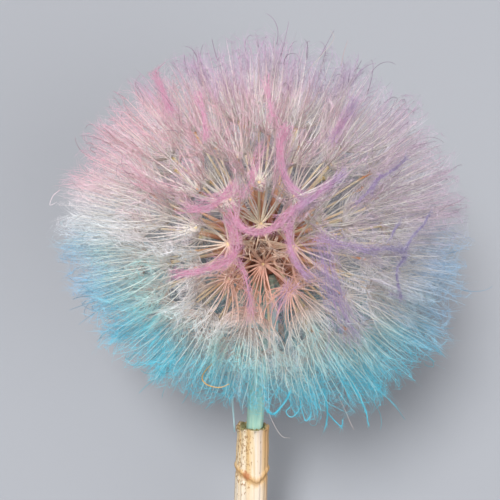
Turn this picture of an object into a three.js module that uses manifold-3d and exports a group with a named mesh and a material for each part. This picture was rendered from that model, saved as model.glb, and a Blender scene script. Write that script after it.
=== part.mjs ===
// A giant dandelion clock (goat's-beard kind), dried and dyed, on its own short stem, which is pushed into
// the top of a dried reed stalk. It lies on a table: the ball of parachutes rests on the tips of its lowest
// rays, and the stalk on the edge of its lower end.
// Millimetres. The pieces are modelled upright, with the centre of the receptacle at the origin: X right,
// Y away, Z up the stem. The whole is then laid down, so that the stalk points to -Y and the table is z = 0.
import * as THREE from 'three';
import { mergeVertices } from 'three/addons/utils/BufferGeometryUtils.js';
import Module from 'manifold-3d';

// ---- driving dimensions ----
const HEAD_RADIUS = 54.5;          // receptacle centre to the tips of the rays, above and beside
const HEAD_LOW_LEFT = 12.0;        // how much shorter the rays are straight down, on the left
const HEAD_LOW_RIGHT = 9.0;        // the same on the right, where the ball stays full until close to the stem
const HUB_RADIUS = 32.5;           // receptacle centre to the hub where a parachute's rays meet
const FRUITS = 88;
const LOWEST_FRUIT = THREE.MathUtils.degToRad(147); // polar angle of the last fruit, from the top
const STEM_GAP = THREE.MathUtils.degToRad(12.5);    // cone round the stem that no ray enters
// Where the fruits on the front half stand: degrees to the right of the front, and degrees up.
const FRONT_FRUITS = [
  [-1, 18], [0, 1], [-14, 9], [13, 8], [-30, 15], [-28, -1], [-15, -6], [12, -10], [24, 17], [-34, 31],
  [-49, 19], [-42, -1], [-26, -24], [-9, -40], [6, -54], [20, -20], [27, -33], [38, -15], [57, -13],
  [47, 0], [39, 14], [55, 21], [76, 24], [18, 46], [6, 63], [-51, 77], [-17, 49], [-46, 55], [-82, 45],
  [-2, 36], [14, 28], [43, 43], [-16, 28], [-52, -28], [-7, -24],
];
const SETTLING_STEPS = 60;         // in which the other fruits move apart
const SETTLING_PUSH = 0.02;
const STEM_PUSH = 5;               // how much harder the stem pushes them than a fruit does
const WIDEST_SPREAD = 0.42;        // radians from a fruit's axis that a ray never passes
const HUB_SIDES = 12;              // a hub has two rings of this many corners
const RAYS = 2 * HUB_SIDES;        // one on each face between the rings
const HUB_LOW_RADIUS = 1.15;
const HUB_HIGH_RADIUS = 0.62;
const BEAK_RADIUS = 0.38;
const ACHENE_RADIUS = 0.95;
const ACHENE_LENGTH = 10.0;
const REST_HEIGHT = 50.2;          // receptacle centre above the table, with the lowest rays pressed flat

const KNOB_RADIUS = 5.0;           // receptacle
const KNOB_NECK = 3.3;
const KNOB_FOOT = -7.2;
const SEAT_GAP = 0.3;              // between pieces that sit on each other

const STEM_TOP_RADIUS = 2.3;
const STEM_LOW_RADIUS = 2.1;
const STEM_DEPTH_IN_STALK = 8.0;
const STALK_TOP = -47.8;           // sawn top of the stalk
const STALK_LEFT = -2.3;           // its axis there, left of the receptacle
const STEM_OFFSET = 0.45;          // the stem's hole, right of the stalk's axis
const STALK_LENGTH = 100.0;
const STALK_RADIUS = 4.2;
const STALK_END_CHAMFER = 0.25;
const STALK_LEAN = THREE.MathUtils.degToRad(1.7);
const STALK_RIBS = 17;
const STALK_SIDES = 34;
const HOLE_RADIUS = 2.4;
const PITH_SINK = 0.7;
const WALL = 0.95;                 // woody wall of the stalk at its rim
const NODE_DEPTH = 13.3;           // leaf scar below the stalk's top
const NODE_SLANT = 0.62;           // fall of the scar towards the right, as a share of the stalk's radius
const CHIP_AT = -2.75;             // direction of the chip in the rim, in radians from the right: front left

const BRACTS = 8;
const BRACT_WIDTH = 3.0;
const BRACT_THICKNESS = 0.8;

const RANDOM_SEED = 41;

// ---- placing ----
const STALK_END_RADIUS = STALK_RADIUS - STALK_END_CHAMFER;
const STALK_END = new THREE.Vector2(STALK_LENGTH - STALK_TOP, STALK_END_RADIUS);
const TILT = Math.asin(REST_HEIGHT / STALK_END.length()) - STALK_END.angle();
const TABLE_UP = new THREE.Vector3(0, -Math.cos(TILT), Math.sin(TILT));
const heightOverTable = (p) => REST_HEIGHT + p.dot(TABLE_UP);

// A repeatable draw from 0 to 1 for each pair of whole numbers.
function draw(i, k) {
  const x = Math.sin(i * 12.9898 + k * 78.233 + RANDOM_SEED) * 43758.5453;
  return x - Math.floor(x);
}

// ---- solids ----
const wasm = await Module();
wasm.setup();

function toSolid(geometry) {
  geometry.deleteAttribute('normal');
  geometry.deleteAttribute('uv');
  const merged = mergeVertices(geometry, 1e-4);
  return new wasm.Manifold(new wasm.Mesh({
    numProp: 3,
    vertProperties: new Float32Array(merged.attributes.position.array),
    triVerts: new Uint32Array(merged.index.array),
  }));
}

function toGeometry(solid) {
  const mesh = solid.getMesh();
  const geometry = new THREE.BufferGeometry();
  geometry.setAttribute('position', new THREE.BufferAttribute(new Float32Array(mesh.vertProperties), 3));
  geometry.setIndex(new THREE.BufferAttribute(new Uint32Array(mesh.triVerts), 1));
  geometry.computeVertexNormals();
  return geometry;
}

function facets(points, triangles) {
  const geometry = new THREE.BufferGeometry();
  geometry.setAttribute('position', new THREE.Float32BufferAttribute(points.flatMap((p) => p.toArray()), 3));
  geometry.setIndex(triangles.flat());
  return geometry;
}

// A turned form about Z from [radius, height] pairs, listed upwards on the outside.
function turned(profile, sides) {
  const geometry = new THREE.LatheGeometry(profile.map(([r, z]) => new THREE.Vector2(r, z)), sides);
  geometry.rotateX(Math.PI / 2);
  return geometry;
}

// Moves each corner of a geometry by a formula.
function shaped(geometry, move) {
  const position = geometry.attributes.position;
  const p = new THREE.Vector3();
  for (let i = 0; i < position.count; i += 1) {
    move(p.fromBufferAttribute(position, i));
    position.setXYZ(i, p.x, p.y, p.z);
  }
  return geometry;
}

// ---- the fruits: achene, beak, hub and rays ----
// The fruits start on a spiral of equal steps in height, turned by the golden angle, as they grow on the
// receptacle. Those at the front move to their own places, and the others settle evenly between them.
function fruitDirections() {
  const golden = Math.PI * (3 - Math.sqrt(5));
  const span = 1 - Math.cos(LOWEST_FRUIT);
  const dirs = Array.from({ length: FRUITS }, (_, i) => {
    const z = 1 - (span * (i + 0.5)) / FRUITS;
    const around = golden * i + 0.09 * (draw(i, 1) - 0.5);
    const across = Math.sqrt(1 - z * z);
    const dir = new THREE.Vector3(across * Math.cos(around), across * Math.sin(around), z);
    dir.z += 0.07 * (draw(i, 2) - 0.5);
    return dir.normalize();
  });

  const placed = new Set();
  for (const angles of FRONT_FRUITS) {
    const [right, up] = angles.map(THREE.MathUtils.degToRad);
    const dir = new THREE.Vector3(
      Math.sin(right) * Math.cos(up), -Math.cos(right) * Math.cos(up), Math.sin(up));
    const closeness = dirs.map((other, k) => (placed.has(k) ? -2 : other.dot(dir)));
    const nearest = closeness.indexOf(Math.max(...closeness));
    dirs[nearest] = dir;
    placed.add(nearest);
  }

  const push = (dir, from) => {
    const away = dir.clone().sub(from);
    return away.divideScalar(away.lengthSq() ** 2);
  };
  const stem = new THREE.Vector3(0, 0, -1);
  const scale = SETTLING_PUSH * ((4 * Math.PI) / FRUITS) ** 1.5;
  for (let step = 0; step < SETTLING_STEPS; step += 1) {
    const moves = dirs.map((dir, k) => {
      if (placed.has(k)) return new THREE.Vector3();
      const sum = push(dir, stem).multiplyScalar(STEM_PUSH);
      dirs.forEach((other, j) => { if (j !== k) sum.add(push(dir, other)); });
      return sum.multiplyScalar(scale).clampLength(0, 0.1);
    });
    dirs.forEach((dir, k) => dir.add(moves[k]).normalize());
  }
  return dirs;
}

// The ball is round above, and drawn in towards the stem, more so on the left.
function outline(dir) {
  const low = Math.max(0, -dir.z);
  const right = THREE.MathUtils.smoothstep(dir.x, -0.3, 0.5);
  return HEAD_RADIUS - HEAD_LOW_LEFT * low * (1 - right) - HEAD_LOW_RIGHT * low ** 4 * right;
}

function sideways(axis, around) {
  const east = new THREE.Vector3(0, 1, 0).cross(axis).normalize();
  const north = axis.clone().cross(east);
  return east.multiplyScalar(Math.cos(around)).addScaledVector(north, Math.sin(around));
}

function tilted(axis, side, angle) {
  return axis.clone().multiplyScalar(Math.cos(angle)).addScaledVector(side, Math.sin(angle));
}

// The widest angle at which a ray stays nearer to its own fruit than to any other, and out of the cone round
// the stem.
function widestAngle(dirs, own, side) {
  const axis = dirs[own];
  const inCell = (angle) => {
    const d = tilted(axis, side, angle);
    const nearest = d.dot(axis);
    return -d.z < Math.cos(STEM_GAP) && dirs.every((other, j) => j === own || d.dot(other) < nearest);
  };
  let inside = 0;
  let outside = WIDEST_SPREAD;
  for (let step = 0; step < 14; step += 1) {
    const middle = (inside + outside) / 2;
    if (inCell(middle)) inside = middle;
    else outside = middle;
  }
  return inside;
}

function fruit(dirs, own) {
  const axis = dirs[own];
  const reach = outline(axis) / HEAD_RADIUS;
  const hub = HUB_RADIUS * reach * (0.955 + 0.09 * draw(own, 3));
  const turn = 2 * Math.PI * draw(own, 4);
  const points = [];
  const triangles = [];
  const ring = (sides, radius, distance, start) => Array.from({ length: sides }, (_, k) => {
    const side = sideways(axis, start + (2 * Math.PI * k) / sides);
    points.push(axis.clone().multiplyScalar(distance).addScaledVector(side, radius));
    return points.length - 1;
  });
  const point = (p) => points.push(p) - 1;

  // root, achene and beak, three-sided
  const root = point(axis.clone().multiplyScalar(KNOB_RADIUS - 2.4));
  const achene = ring(3, ACHENE_RADIUS, KNOB_RADIUS + 0.34 * ACHENE_LENGTH, turn);
  const neck = ring(3, BEAK_RADIUS, KNOB_RADIUS + ACHENE_LENGTH, turn);
  const collar = ring(3, BEAK_RADIUS, hub - 1.1, turn);
  for (let k = 0; k < 3; k += 1) {
    const n = (k + 1) % 3;
    triangles.push([root, achene[n], achene[k]]);
    triangles.push([achene[k], achene[n], neck[n]], [achene[k], neck[n], neck[k]]);
    triangles.push([neck[k], neck[n], collar[n]], [neck[k], collar[n], collar[k]]);
  }

  // hub: a low dome of two rings, half a step apart
  const step = (2 * Math.PI) / HUB_SIDES;
  const low = ring(HUB_SIDES, HUB_LOW_RADIUS, hub - 0.3, turn);
  const high = ring(HUB_SIDES, HUB_HIGH_RADIUS, hub + 0.35, turn + step / 2);
  const crown = point(axis.clone().multiplyScalar(hub + 0.55));
  for (let k = 0; k < HUB_SIDES; k += 1) {
    const n = (k + 1) % HUB_SIDES;
    const from = Math.floor((3 * k) / HUB_SIDES);
    const to = Math.floor((3 * (k + 1)) / HUB_SIDES) % 3;
    triangles.push([collar[from], low[n], low[k]]);
    if (from !== to) triangles.push([collar[from], collar[to], low[n]]);
    triangles.push([high[k], high[n], crown]);
  }

  // rays, one raised from each face between the hub's rings
  const ray = (corners, around, share, tier) => {
    const side = sideways(axis, around);
    const angle = share * widestAngle(dirs, own, side);
    const dir = tilted(axis, side, angle);
    const wisp = draw(own * RAYS + tier, 5) > 0.93 ? 1.045 : 1;
    const length = outline(dir) * wisp * (0.955 + 0.05 * draw(own * RAYS + tier, 6));
    const tip = dir.clone().multiplyScalar(length);
    const base = corners.reduce((sum, c) => sum.add(points[c]), new THREE.Vector3()).divideScalar(3);
    raiseRay(points, triangles, corners, base, tip);
  };
  for (let k = 0; k < HUB_SIDES; k += 1) {
    const n = (k + 1) % HUB_SIDES;
    ray([low[k], low[n], high[k]], turn + step * (k + 0.5), 0.95, 2 * k);
    ray([low[n], high[n], high[k]], turn + step * (k + 1), 0.56, 2 * k + 1);
  }
  return toSolid(facets(points, triangles));
}

// Raises a three-sided spike from a face to its tip. Where the table is in the way, the spike bends where it
// meets it and its last stretch lies pressed flat.
const PRESSED_HALF_WIDTH = 0.3;
const PRESSED_THICKNESS = 0.45;
const SHORTEST_PRESSED = 1.5;
function raiseRay(points, triangles, corners, base, tip) {
  const below = -heightOverTable(tip);
  if (below > 0) {
    const run = tip.clone().sub(base);
    const part = heightOverTable(base) / (heightOverTable(base) + below);
    const rest = run.length() * (1 - part);
    const foot = base.clone().addScaledVector(run, part);
    if (rest > SHORTEST_PRESSED) {
      const flat = run.addScaledVector(TABLE_UP, -run.dot(TABLE_UP)).normalize();
      const side = TABLE_UP.clone().cross(flat);
      const bend = [
        points.push(foot.clone().addScaledVector(side, -PRESSED_HALF_WIDTH)) - 1,
        points.push(foot.clone().addScaledVector(side, PRESSED_HALF_WIDTH)) - 1,
        points.push(foot.clone().addScaledVector(TABLE_UP, PRESSED_THICKNESS)) - 1,
      ];
      // The bend's corners are joined to the face's in the order that twists the spike least.
      const offsets = corners.map((c) => points[c].clone().sub(base).normalize());
      const match = (shift) => bend.reduce((sum, b, k) => (
        sum + offsets[(k + shift) % 3].dot(points[b].clone().sub(foot).normalize())), 0);
      const best = [0, 1, 2].reduce((a, b) => (match(b) > match(a) ? b : a));
      const from = [0, 1, 2].map((k) => corners[(k + best) % 3]);
      for (let k = 0; k < 3; k += 1) {
        const n = (k + 1) % 3;
        triangles.push([from[k], from[n], bend[n]], [from[k], bend[n], bend[k]]);
      }
      raiseSpike(points, triangles, bend, foot.addScaledVector(flat, rest * 0.85));
      return;
    }
    tip.copy(foot);
  }
  raiseSpike(points, triangles, corners, tip);
}

function raiseSpike(points, triangles, corners, tip) {
  const end = points.push(tip) - 1;
  for (let k = 0; k < 3; k += 1) triangles.push([corners[k], corners[(k + 1) % 3], end]);
}

function seedHead() {
  const knob = toSolid(turned([
    [0, KNOB_FOOT], [KNOB_NECK, KNOB_FOOT], [KNOB_NECK + 0.3, -5.2], [4.7, -1.7],
    [KNOB_RADIUS, 0.6], [4.2, 3.1], [2.3, 4.7], [0, 5.2],
  ], 16));
  const dirs = fruitDirections();
  const fruits = dirs.map((_, own) => fruit(dirs, own));
  return wasm.Manifold.union([knob, ...fruits]);
}

// ---- bracts: a collar with long narrow leaves turned down round the stem ----
function bract(index) {
  const longest = index === 5;
  const length = longest ? 38.5 : 15 + 9 * draw(index, 11);
  const around = THREE.MathUtils.degToRad(-15 + (360 / BRACTS) * index + 8 * (draw(index, 12) - 0.5));
  const out = new THREE.Vector3(Math.cos(around), Math.sin(around), 0);
  const side = new THREE.Vector3(-out.y, out.x, 0);
  const spine = new THREE.CatmullRomCurve3([
    [2.9, -8.6], [4.4, -10.4], [5.7, -13.6], [longest ? 8.6 : 6.2 + draw(index, 13), -13.6 - length * 0.45],
    [longest ? 7.9 : 6.4 + 1.2 * draw(index, 14), -10 - length],
  ].map(([r, z]) => out.clone().multiplyScalar(r).setZ(z)));
  const stations = 7;
  const points = [];
  const triangles = [];
  for (let i = 0; i < stations; i += 1) {
    const t = i / stations;
    const at = spine.getPoint(t);
    const across = spine.getTangent(t).cross(side).normalize();
    const half = (BRACT_WIDTH / 2) * (0.75 + 0.5 * t) * (1 - t ** 3);
    const thick = (BRACT_THICKNESS / 2) * (1 - 0.35 * t);
    points.push(
      at.clone().addScaledVector(side, half),
      at.clone().addScaledVector(across, thick),
      at.clone().addScaledVector(side, -half),
      at.clone().addScaledVector(across, -thick),
    );
  }
  const tip = points.push(spine.getPoint(1)) - 1;
  for (let i = 0; i < stations; i += 1) {
    for (let k = 0; k < 4; k += 1) {
      const a = 4 * i + k;
      const b = 4 * i + ((k + 1) % 4);
      if (i === stations - 1) triangles.push([a, b, tip]);
      else triangles.push([a, b, b + 4], [a, b + 4, a + 4]);
    }
  }
  triangles.push([0, 3, 2], [0, 2, 1]);
  return toSolid(facets(points, triangles));
}

function bracts() {
  const inner = STEM_TOP_RADIUS + SEAT_GAP + 0.05;
  const top = KNOB_FOOT - SEAT_GAP;
  const collar = toSolid(turned([
    [inner, top - 3], [3.3, top - 3], [3.75, top - 1.6], [3.6, top], [inner, top], [inner, top - 3],
  ], 20));
  const leaves = Array.from({ length: BRACTS }, (_, i) => bract(i));
  // The leaves' roots are cut back flush with the collar's bore.
  const bore = toSolid(turned([[0, top - 12], [inner, top - 12], [inner, top + 1], [0, top + 1]], 20));
  return wasm.Manifold.union([collar, ...leaves]).subtract(bore);
}

// ---- stem: faintly ridged, tapering and leaning into the stalk ----
function stem() {
  const top = KNOB_FOOT - SEAT_GAP;
  const foot = STALK_TOP - STEM_DEPTH_IN_STALK;
  const steps = 9;
  const profile = [[0, foot]];
  for (let i = 0; i <= steps; i += 1) {
    const t = i / steps;
    const radius = THREE.MathUtils.lerp(STEM_LOW_RADIUS, STEM_TOP_RADIUS, t);
    profile.push([radius, THREE.MathUtils.lerp(foot, top, t)]);
  }
  profile.push([0, top]);
  const ridged = shaped(turned(profile, 16), (p) => {
    const ridge = 1 + 0.025 * Math.cos(8 * Math.atan2(p.y, p.x));
    p.x = p.x * ridge + stemAxis(p.z);
    p.y *= ridge;
  });
  return toSolid(ridged);
}

// How far the stem's axis stands to the right at a height: it bows left to meet the hole in the stalk and then
// follows it.
function stemAxis(z) {
  const hole = STALK_LEFT + STEM_OFFSET;
  if (z < STALK_TOP) return hole + (z - STALK_TOP) * Math.tan(STALK_LEAN);
  const t = (z - KNOB_FOOT) / (STALK_TOP - KNOB_FOOT);
  return hole * THREE.MathUtils.clamp(t, 0, 1) ** 1.25;
}

// ---- reed stalk: ribbed, with a leaf scar, a sunken pith with the stem's hole, and a scrap of sheath ----
function stalkGirth(z, around) {
  const ribs = 0.1 * Math.cos(STALK_RIBS * around) + 0.05 * Math.cos(5 * around + 1.3);
  const waist = -0.16 * Math.exp(-(((z + 2.6) / 2.2) ** 2));
  const scar = z + NODE_DEPTH + NODE_SLANT * STALK_RADIUS * Math.cos(around);
  const ring = 0.34 * Math.exp(-((scar / 0.8) ** 2)) - 0.16 * Math.exp(-(((scar + 1.7) / 0.7) ** 2));
  const lip = 0.4 * Math.exp(-(((z + 0.5) / 0.8) ** 2)) * Math.exp((-Math.cos(around) - 1) / 0.25);
  return 1 + (ribs + waist + ring + lip) / STALK_RADIUS;
}

function rimHeight(around) {
  const ragged = 0.22 * Math.sin(3 * around + 0.6) + 0.18 * Math.sin(7 * around + 2.1);
  const chip = -0.9 * Math.exp((Math.cos(around - CHIP_AT) - 1) / 0.05);
  return ragged + chip;
}

function stalk() {
  const plain = Array.from({ length: 8 }, (_, k) => THREE.MathUtils.lerp(0.7 - STALK_LENGTH, -22, k / 7));
  const round = Array.from({ length: 9 }, (_, k) => -NODE_DEPTH - 5 + 1.15 * k);
  const levels = [-STALK_LENGTH, ...plain, ...round, -5.6, -3.8, -2.6, -1.2].map((z) => [STALK_RADIUS, z]);
  levels[0][0] -= STALK_END_CHAMFER;
  const rim = STALK_RADIUS - WALL;
  const holeFloor = -STEM_DEPTH_IN_STALK - SEAT_GAP;
  const profile = [[0, -STALK_LENGTH], ...levels, [STALK_RADIUS, -0.1], [STALK_RADIUS - 0.12, 0], [rim, 0],
    [rim - 0.15, -PITH_SINK], [HOLE_RADIUS, -PITH_SINK - 0.1], [HOLE_RADIUS, holeFloor], [0, holeFloor]];
  const body = toSolid(shaped(turned(profile, STALK_SIDES), (p) => {
    const radius = Math.hypot(p.x, p.y);
    if (radius < HOLE_RADIUS + 0.2) {
      if (p.z > -STEM_DEPTH_IN_STALK - 1) p.x += STEM_OFFSET;
      return;
    }
    const around = Math.atan2(p.y, p.x);
    const girth = stalkGirth(p.z, around);
    const share = THREE.MathUtils.smoothstep(radius, HOLE_RADIUS, STALK_RADIUS - 0.5);
    p.x *= 1 + (girth - 1) * share;
    p.y *= 1 + (girth - 1) * share;
    if (p.z > -0.3) p.z += rimHeight(around);
  }));
  return body.add(sheathScrap());
}

// A sliver of dried leaf sheath that lifts off the stalk below the scar, on the right.
function sheathScrap() {
  const outline2d = new THREE.Shape();
  outline2d.moveTo(-1.1, 0);
  outline2d.quadraticCurveTo(-1.5, -4.5, -0.5, -8.4);
  outline2d.lineTo(0.5, -7.2);
  outline2d.quadraticCurveTo(1.6, -4, 1.2, 0);
  const sliver = new THREE.ExtrudeGeometry(outline2d, { depth: 0.6, bevelEnabled: false, curveSegments: 4 });
  sliver.rotateX(Math.PI / 2);
  sliver.rotateZ(Math.PI / 2);
  return toSolid(shaped(sliver, (p) => {
    const down = -p.z;
    p.x += STALK_RADIUS - 0.75 + 0.014 * down * down;
    p.z -= NODE_DEPTH + 2.6;
  }));
}

// ---- assembly ----
function piece(name, geometry, color, roughness) {
  const material = new THREE.MeshStandardMaterial({ color, roughness, metalness: 0 });
  const mesh = new THREE.Mesh(geometry, material);
  mesh.name = name;
  return mesh;
}

const upright = new THREE.Group();
upright.add(piece('seed_head', toGeometry(seedHead()), 0xd3bccb, 0.9));
upright.add(piece('bracts', toGeometry(bracts()), 0x9cc3c4, 0.85));
upright.add(piece('stem', toGeometry(stem()), 0x9dbfb8, 0.7));

const stalkMesh = piece('stalk', toGeometry(stalk()), 0xe3cba0, 0.75);
stalkMesh.position.set(STALK_LEFT, 0, STALK_TOP);
stalkMesh.rotation.y = STALK_LEAN;
upright.add(stalkMesh);

upright.rotation.x = TILT - Math.PI / 2;
upright.position.z = REST_HEIGHT;

// The origin is the centre of the box's footprint on the table.
const seedHeadOnStalk = new THREE.Group();
seedHeadOnStalk.add(upright);
seedHeadOnStalk.updateMatrixWorld(true);
const box = new THREE.Box3().setFromObject(seedHeadOnStalk, true);
upright.position.x -= (box.min.x + box.max.x) / 2;
upright.position.y -= (box.min.y + box.max.y) / 2;
seedHeadOnStalk.updateMatrixWorld(true);

export default seedHeadOnStalk;
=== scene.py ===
"""Giant dandelion clock, dried and dyed, on its stem in a dried reed stalk: the finished surfaces.

Lengths inside the makers are millimetres in the upright ball's own frame: X right, Y away, Z up the stem,
with the receptacle's centre at the origin. to_row() lays them down into the part's frame, in metres.
"""
from functools import partial
from math import asin, atan2, cos, hypot, pi, radians, sin, sqrt, tan

import bpy
import numpy as np
from bpy.props import FloatProperty, FloatVectorProperty, IntProperty, PointerProperty
from mathutils import Matrix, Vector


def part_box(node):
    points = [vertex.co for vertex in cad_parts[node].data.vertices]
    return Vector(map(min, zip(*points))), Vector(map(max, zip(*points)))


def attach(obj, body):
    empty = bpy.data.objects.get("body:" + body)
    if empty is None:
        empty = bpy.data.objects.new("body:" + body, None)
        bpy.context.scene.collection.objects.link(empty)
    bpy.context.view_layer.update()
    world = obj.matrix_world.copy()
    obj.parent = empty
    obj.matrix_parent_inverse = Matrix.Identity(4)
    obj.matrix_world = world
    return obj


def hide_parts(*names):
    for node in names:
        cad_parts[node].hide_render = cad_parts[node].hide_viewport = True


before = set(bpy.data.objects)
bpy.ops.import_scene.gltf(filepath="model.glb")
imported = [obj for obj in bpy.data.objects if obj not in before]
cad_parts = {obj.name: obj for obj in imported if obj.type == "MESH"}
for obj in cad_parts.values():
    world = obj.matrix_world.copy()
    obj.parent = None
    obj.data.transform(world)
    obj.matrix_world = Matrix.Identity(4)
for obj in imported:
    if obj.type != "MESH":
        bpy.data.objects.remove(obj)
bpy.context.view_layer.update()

bl_info = {
    "name": "Giant Dandelion Clock",
    "version": (1, 0, 0),
    "blender": (4, 5, 0),
    "location": "View3D > Sidebar > Clock",
    "description": "Dresses a lying dandelion clock with its parachutes, stem and reed stalk",
    "category": "Object",
}

MM = 0.001
RANDOM_SEED = 41

# ---- the ball, as the solids have it ----
HEAD_RADIUS = 54.5
HEAD_LOW_LEFT = 12.0
HEAD_LOW_RIGHT = 9.0
HUB_RADIUS = 32.5
FRUITS = 88
LOWEST_FRUIT = radians(147)
STEM_GAP = radians(12.5)
WIDEST_SPREAD = 0.42
# Where the fruits on the front half stand: degrees to the right of the front, and degrees up.
FRONT_FRUITS = [
    (-1, 18), (0, 1), (-14, 9), (13, 8), (-30, 15), (-28, -1), (-15, -6), (12, -10), (24, 17), (-34, 31),
    (-49, 19), (-42, -1), (-26, -24), (-9, -40), (6, -54), (20, -20), (27, -33), (38, -15), (57, -13),
    (47, 0), (39, 14), (55, 21), (76, 24), (18, 46), (6, 63), (-51, 77), (-17, 49), (-46, 55), (-82, 45),
    (-2, 36), (14, 28), (43, 43), (-16, 28), (-52, -28), (-7, -24),
]
SETTLING_STEPS = 60
SETTLING_PUSH = 0.02
STEM_PUSH = 5.0
REST_HEIGHT = 50.2
KNOB_RADIUS = 5.0
KNOB_FOOT = -7.2
SEAT_GAP = 0.3
BRACTS = 8

# ---- the stem and the reed stalk, as the solids have them but for the places that say so ----
STEM_TOP_RADIUS = 2.3
STEM_LOW_RADIUS = 2.1
STEM_RIDGE = 0.025
STEM_DEPTH_IN_STALK = 8.0
STALK_TOP = -47.8
STALK_LEFT = -2.3
STEM_OFFSET = 0.45
STALK_LENGTH = 100.0
STALK_RADIUS = 4.2
STALK_END_CHAMFER = 0.25
STALK_LEAN = radians(1.7)
PITH_SINK = 0.3                    # under the rim; the solid's lies 0.4 mm deeper
WALL = 0.95
HOLE_RADIUS = 2.4
NODE_DEPTH = 13.3
NODE_SLANT = 0.62
SCAR_TURN = 1.2                    # the scar turns up again this far to the right; the solid's doesn't
SCAR_RISE = 1.5
CHIP_AT = -2.75
STALK_RIBS = 17

# ---- the front view, in whose pixels the loose hair is placed, with the receptacle at this pixel ----
PX = 0.256                         # a pixel in mm at the receptacle
FRAME_PX = 500
MIDDLE_PX = FRAME_PX / 2
RECEPTACLE_PX = (262, 245)
EYE_RAISED = radians(9)
LENS = 100.0
SENSOR_WIDTH = 36.0
EYE_DISTANCE = FRAME_PX * PX * LENS / SENSOR_WIDTH
EYE_ACROSS = np.array([1.0, 0, 0])
EYE_UP = np.array([0, sin(EYE_RAISED), cos(EYE_RAISED)])
EYE_BACK = np.array([0, -cos(EYE_RAISED), sin(EYE_RAISED)])

# ---- how it lies: the ball and the stalk's lower end touch the table ----
STALK_END_REACH = STALK_LENGTH - STALK_TOP
STALK_END_RADIUS = STALK_RADIUS - STALK_END_CHAMFER
TILT = asin(REST_HEIGHT / hypot(STALK_END_REACH, STALK_END_RADIUS)) - atan2(STALK_END_RADIUS, STALK_END_REACH)
LAY_DOWN = np.array([[1, 0, 0], [0, sin(TILT), cos(TILT)], [0, -cos(TILT), sin(TILT)]])


def ball_centre():
    """The receptacle's centre in the part's frame, in mm, found from the flat top of the stem's solid."""
    high = np.array(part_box("stem")[1]) / MM
    edge = STEM_TOP_RADIUS * (1 + STEM_RIDGE)
    top = KNOB_FOOT - SEAT_GAP
    return np.array([high[0] - edge, high[1] - top * cos(TILT) - edge * sin(TILT), REST_HEIGHT])


CENTRE = ball_centre()


def to_row(points):
    return (points @ LAY_DOWN.T + CENTRE) * MM


def height(points):
    """Height over the table, in mm, of points in the upright frame."""
    return points @ LAY_DOWN[2] + CENTRE[2]


def kept_above(points, lowest):
    """The points, raised along the table's normal where they lie lower than that."""
    lift = np.maximum(0, lowest - height(points))
    return points + lift[..., None] * LAY_DOWN[2]


def linear(code):
    """An sRGB hex colour as linear numbers."""
    parts = [int(code[i:i + 2], 16) / 255 for i in (1, 3, 5)]
    return tuple(c / 12.92 if c <= 0.04045 else ((c + 0.055) / 1.055) ** 2.4 for c in parts) + (1.0,)


def colour_property(name, description, code):
    return FloatVectorProperty(name=name, description=description, subtype="COLOR", size=4, min=0, max=1,
                               default=linear(code))


# ---- what a user would change ----
class ClockPappus(bpy.types.PropertyGroup):
    rays: IntProperty(name="Rays", description="Rays of each parachute", default=26, min=6)
    hairs: IntProperty(name="Hairs", description="Side hairs of each ray", default=73, min=0)
    ray_width: FloatProperty(name="Ray width", description="Width of a ray at its hub", default=0.5 * MM,
                             unit="LENGTH", precision=6)
    hair_width: FloatProperty(name="Hair width", description="Width of a side hair at its root",
                              default=0.058 * MM, unit="LENGTH", precision=6)
    wisps: IntProperty(name="Wisps", description="Rays that end in a long curled hair", default=420, min=0)


class ClockDyes(bpy.types.PropertyGroup):
    undyed: colour_property("Undyed", "Hair that took no dye", "#E2E1E3")
    pink: colour_property("Pink", "Dye on the upper left", "#DFA9B6")
    mauve: colour_property("Mauve", "Dye on the upper edge", "#AE8DAC")
    lilac: colour_property("Lilac grey", "Dye on the right", "#9F96AD")
    mint: colour_property("Mint", "Thin dye over the lower ball", "#96CFCB")
    cyan: colour_property("Cyan", "Dye on the lowest hair", "#41C8E0")
    blue: colour_property("Blue", "Dye on the left and right edges", "#82B0D2")
    # peach is partly painted shade: the hair before the receptacle seen in shadow against the brown achenes
    peach: colour_property("Peach", "Undyed hair before the receptacle", "#E9A68C")
    ochre: colour_property("Ochre", "Dry rays at the front", "#EFD6AC")
    felt_pink: colour_property("Felt pink", "Dye that gathered in the felted ridges", "#DD98B8")
    felt_lilac: colour_property("Felt lilac", "The same at the upper right", "#B593BE")
    felt_purple: colour_property("Felt purple", "The same at the lower right", "#8A7FA8")


class ClockStage(bpy.types.PropertyGroup):
    lens: FloatProperty(name="Lens", description="Focal length", default=LENS, unit="CAMERA")
    raised: FloatProperty(name="Raised", description="Camera's angle over the upright ball's horizon",
                          default=EYE_RAISED, subtype="ANGLE")
    floor: colour_property("Floor", "Matte paper that the clock lies on", "#94969B")


# ---- drawing lots ----
def draw(i, k):
    """A repeatable draw from 0 to 1, the same as the solids have."""
    x = np.sin(np.asarray(i) * 12.9898 + k * 78.233 + RANDOM_SEED) * 43758.5453
    return x - np.floor(x)


def lots(*key):
    return np.random.default_rng([RANDOM_SEED, *key])


# ---- mesh code ----
def unit(v):
    return v / np.maximum(np.linalg.norm(v, axis=-1, keepdims=True), 1e-9)


def across_path(along, mean):
    """Two directions at right angles to each direction along, which follow the path's mean direction."""
    ref = np.where(np.abs(mean[..., 2:]) < 0.8, [0, 0, 1.0], [1.0, 0, 0])
    a = unit(np.cross(along, ref))
    return a, np.cross(along, a)


def rings_round(paths, radii, sides, flutes=1.0):
    """Rings of points (n, m, sides, 3) round paths (n, m, 3) with radii (m,) or (n, m)."""
    along = unit(np.gradient(paths, axis=1))
    a, b = across_path(along, unit(paths[:, -1] - paths[:, 0])[:, None])
    turn = 2 * pi * np.arange(sides) / sides
    ring = (np.cos(turn) * flutes)[:, None] * a[:, :, None]
    ring = ring + (np.sin(turn) * flutes)[:, None] * b[:, :, None]
    return paths[:, :, None] + np.broadcast_to(radii, paths.shape[:2])[..., None, None] * ring


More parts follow.
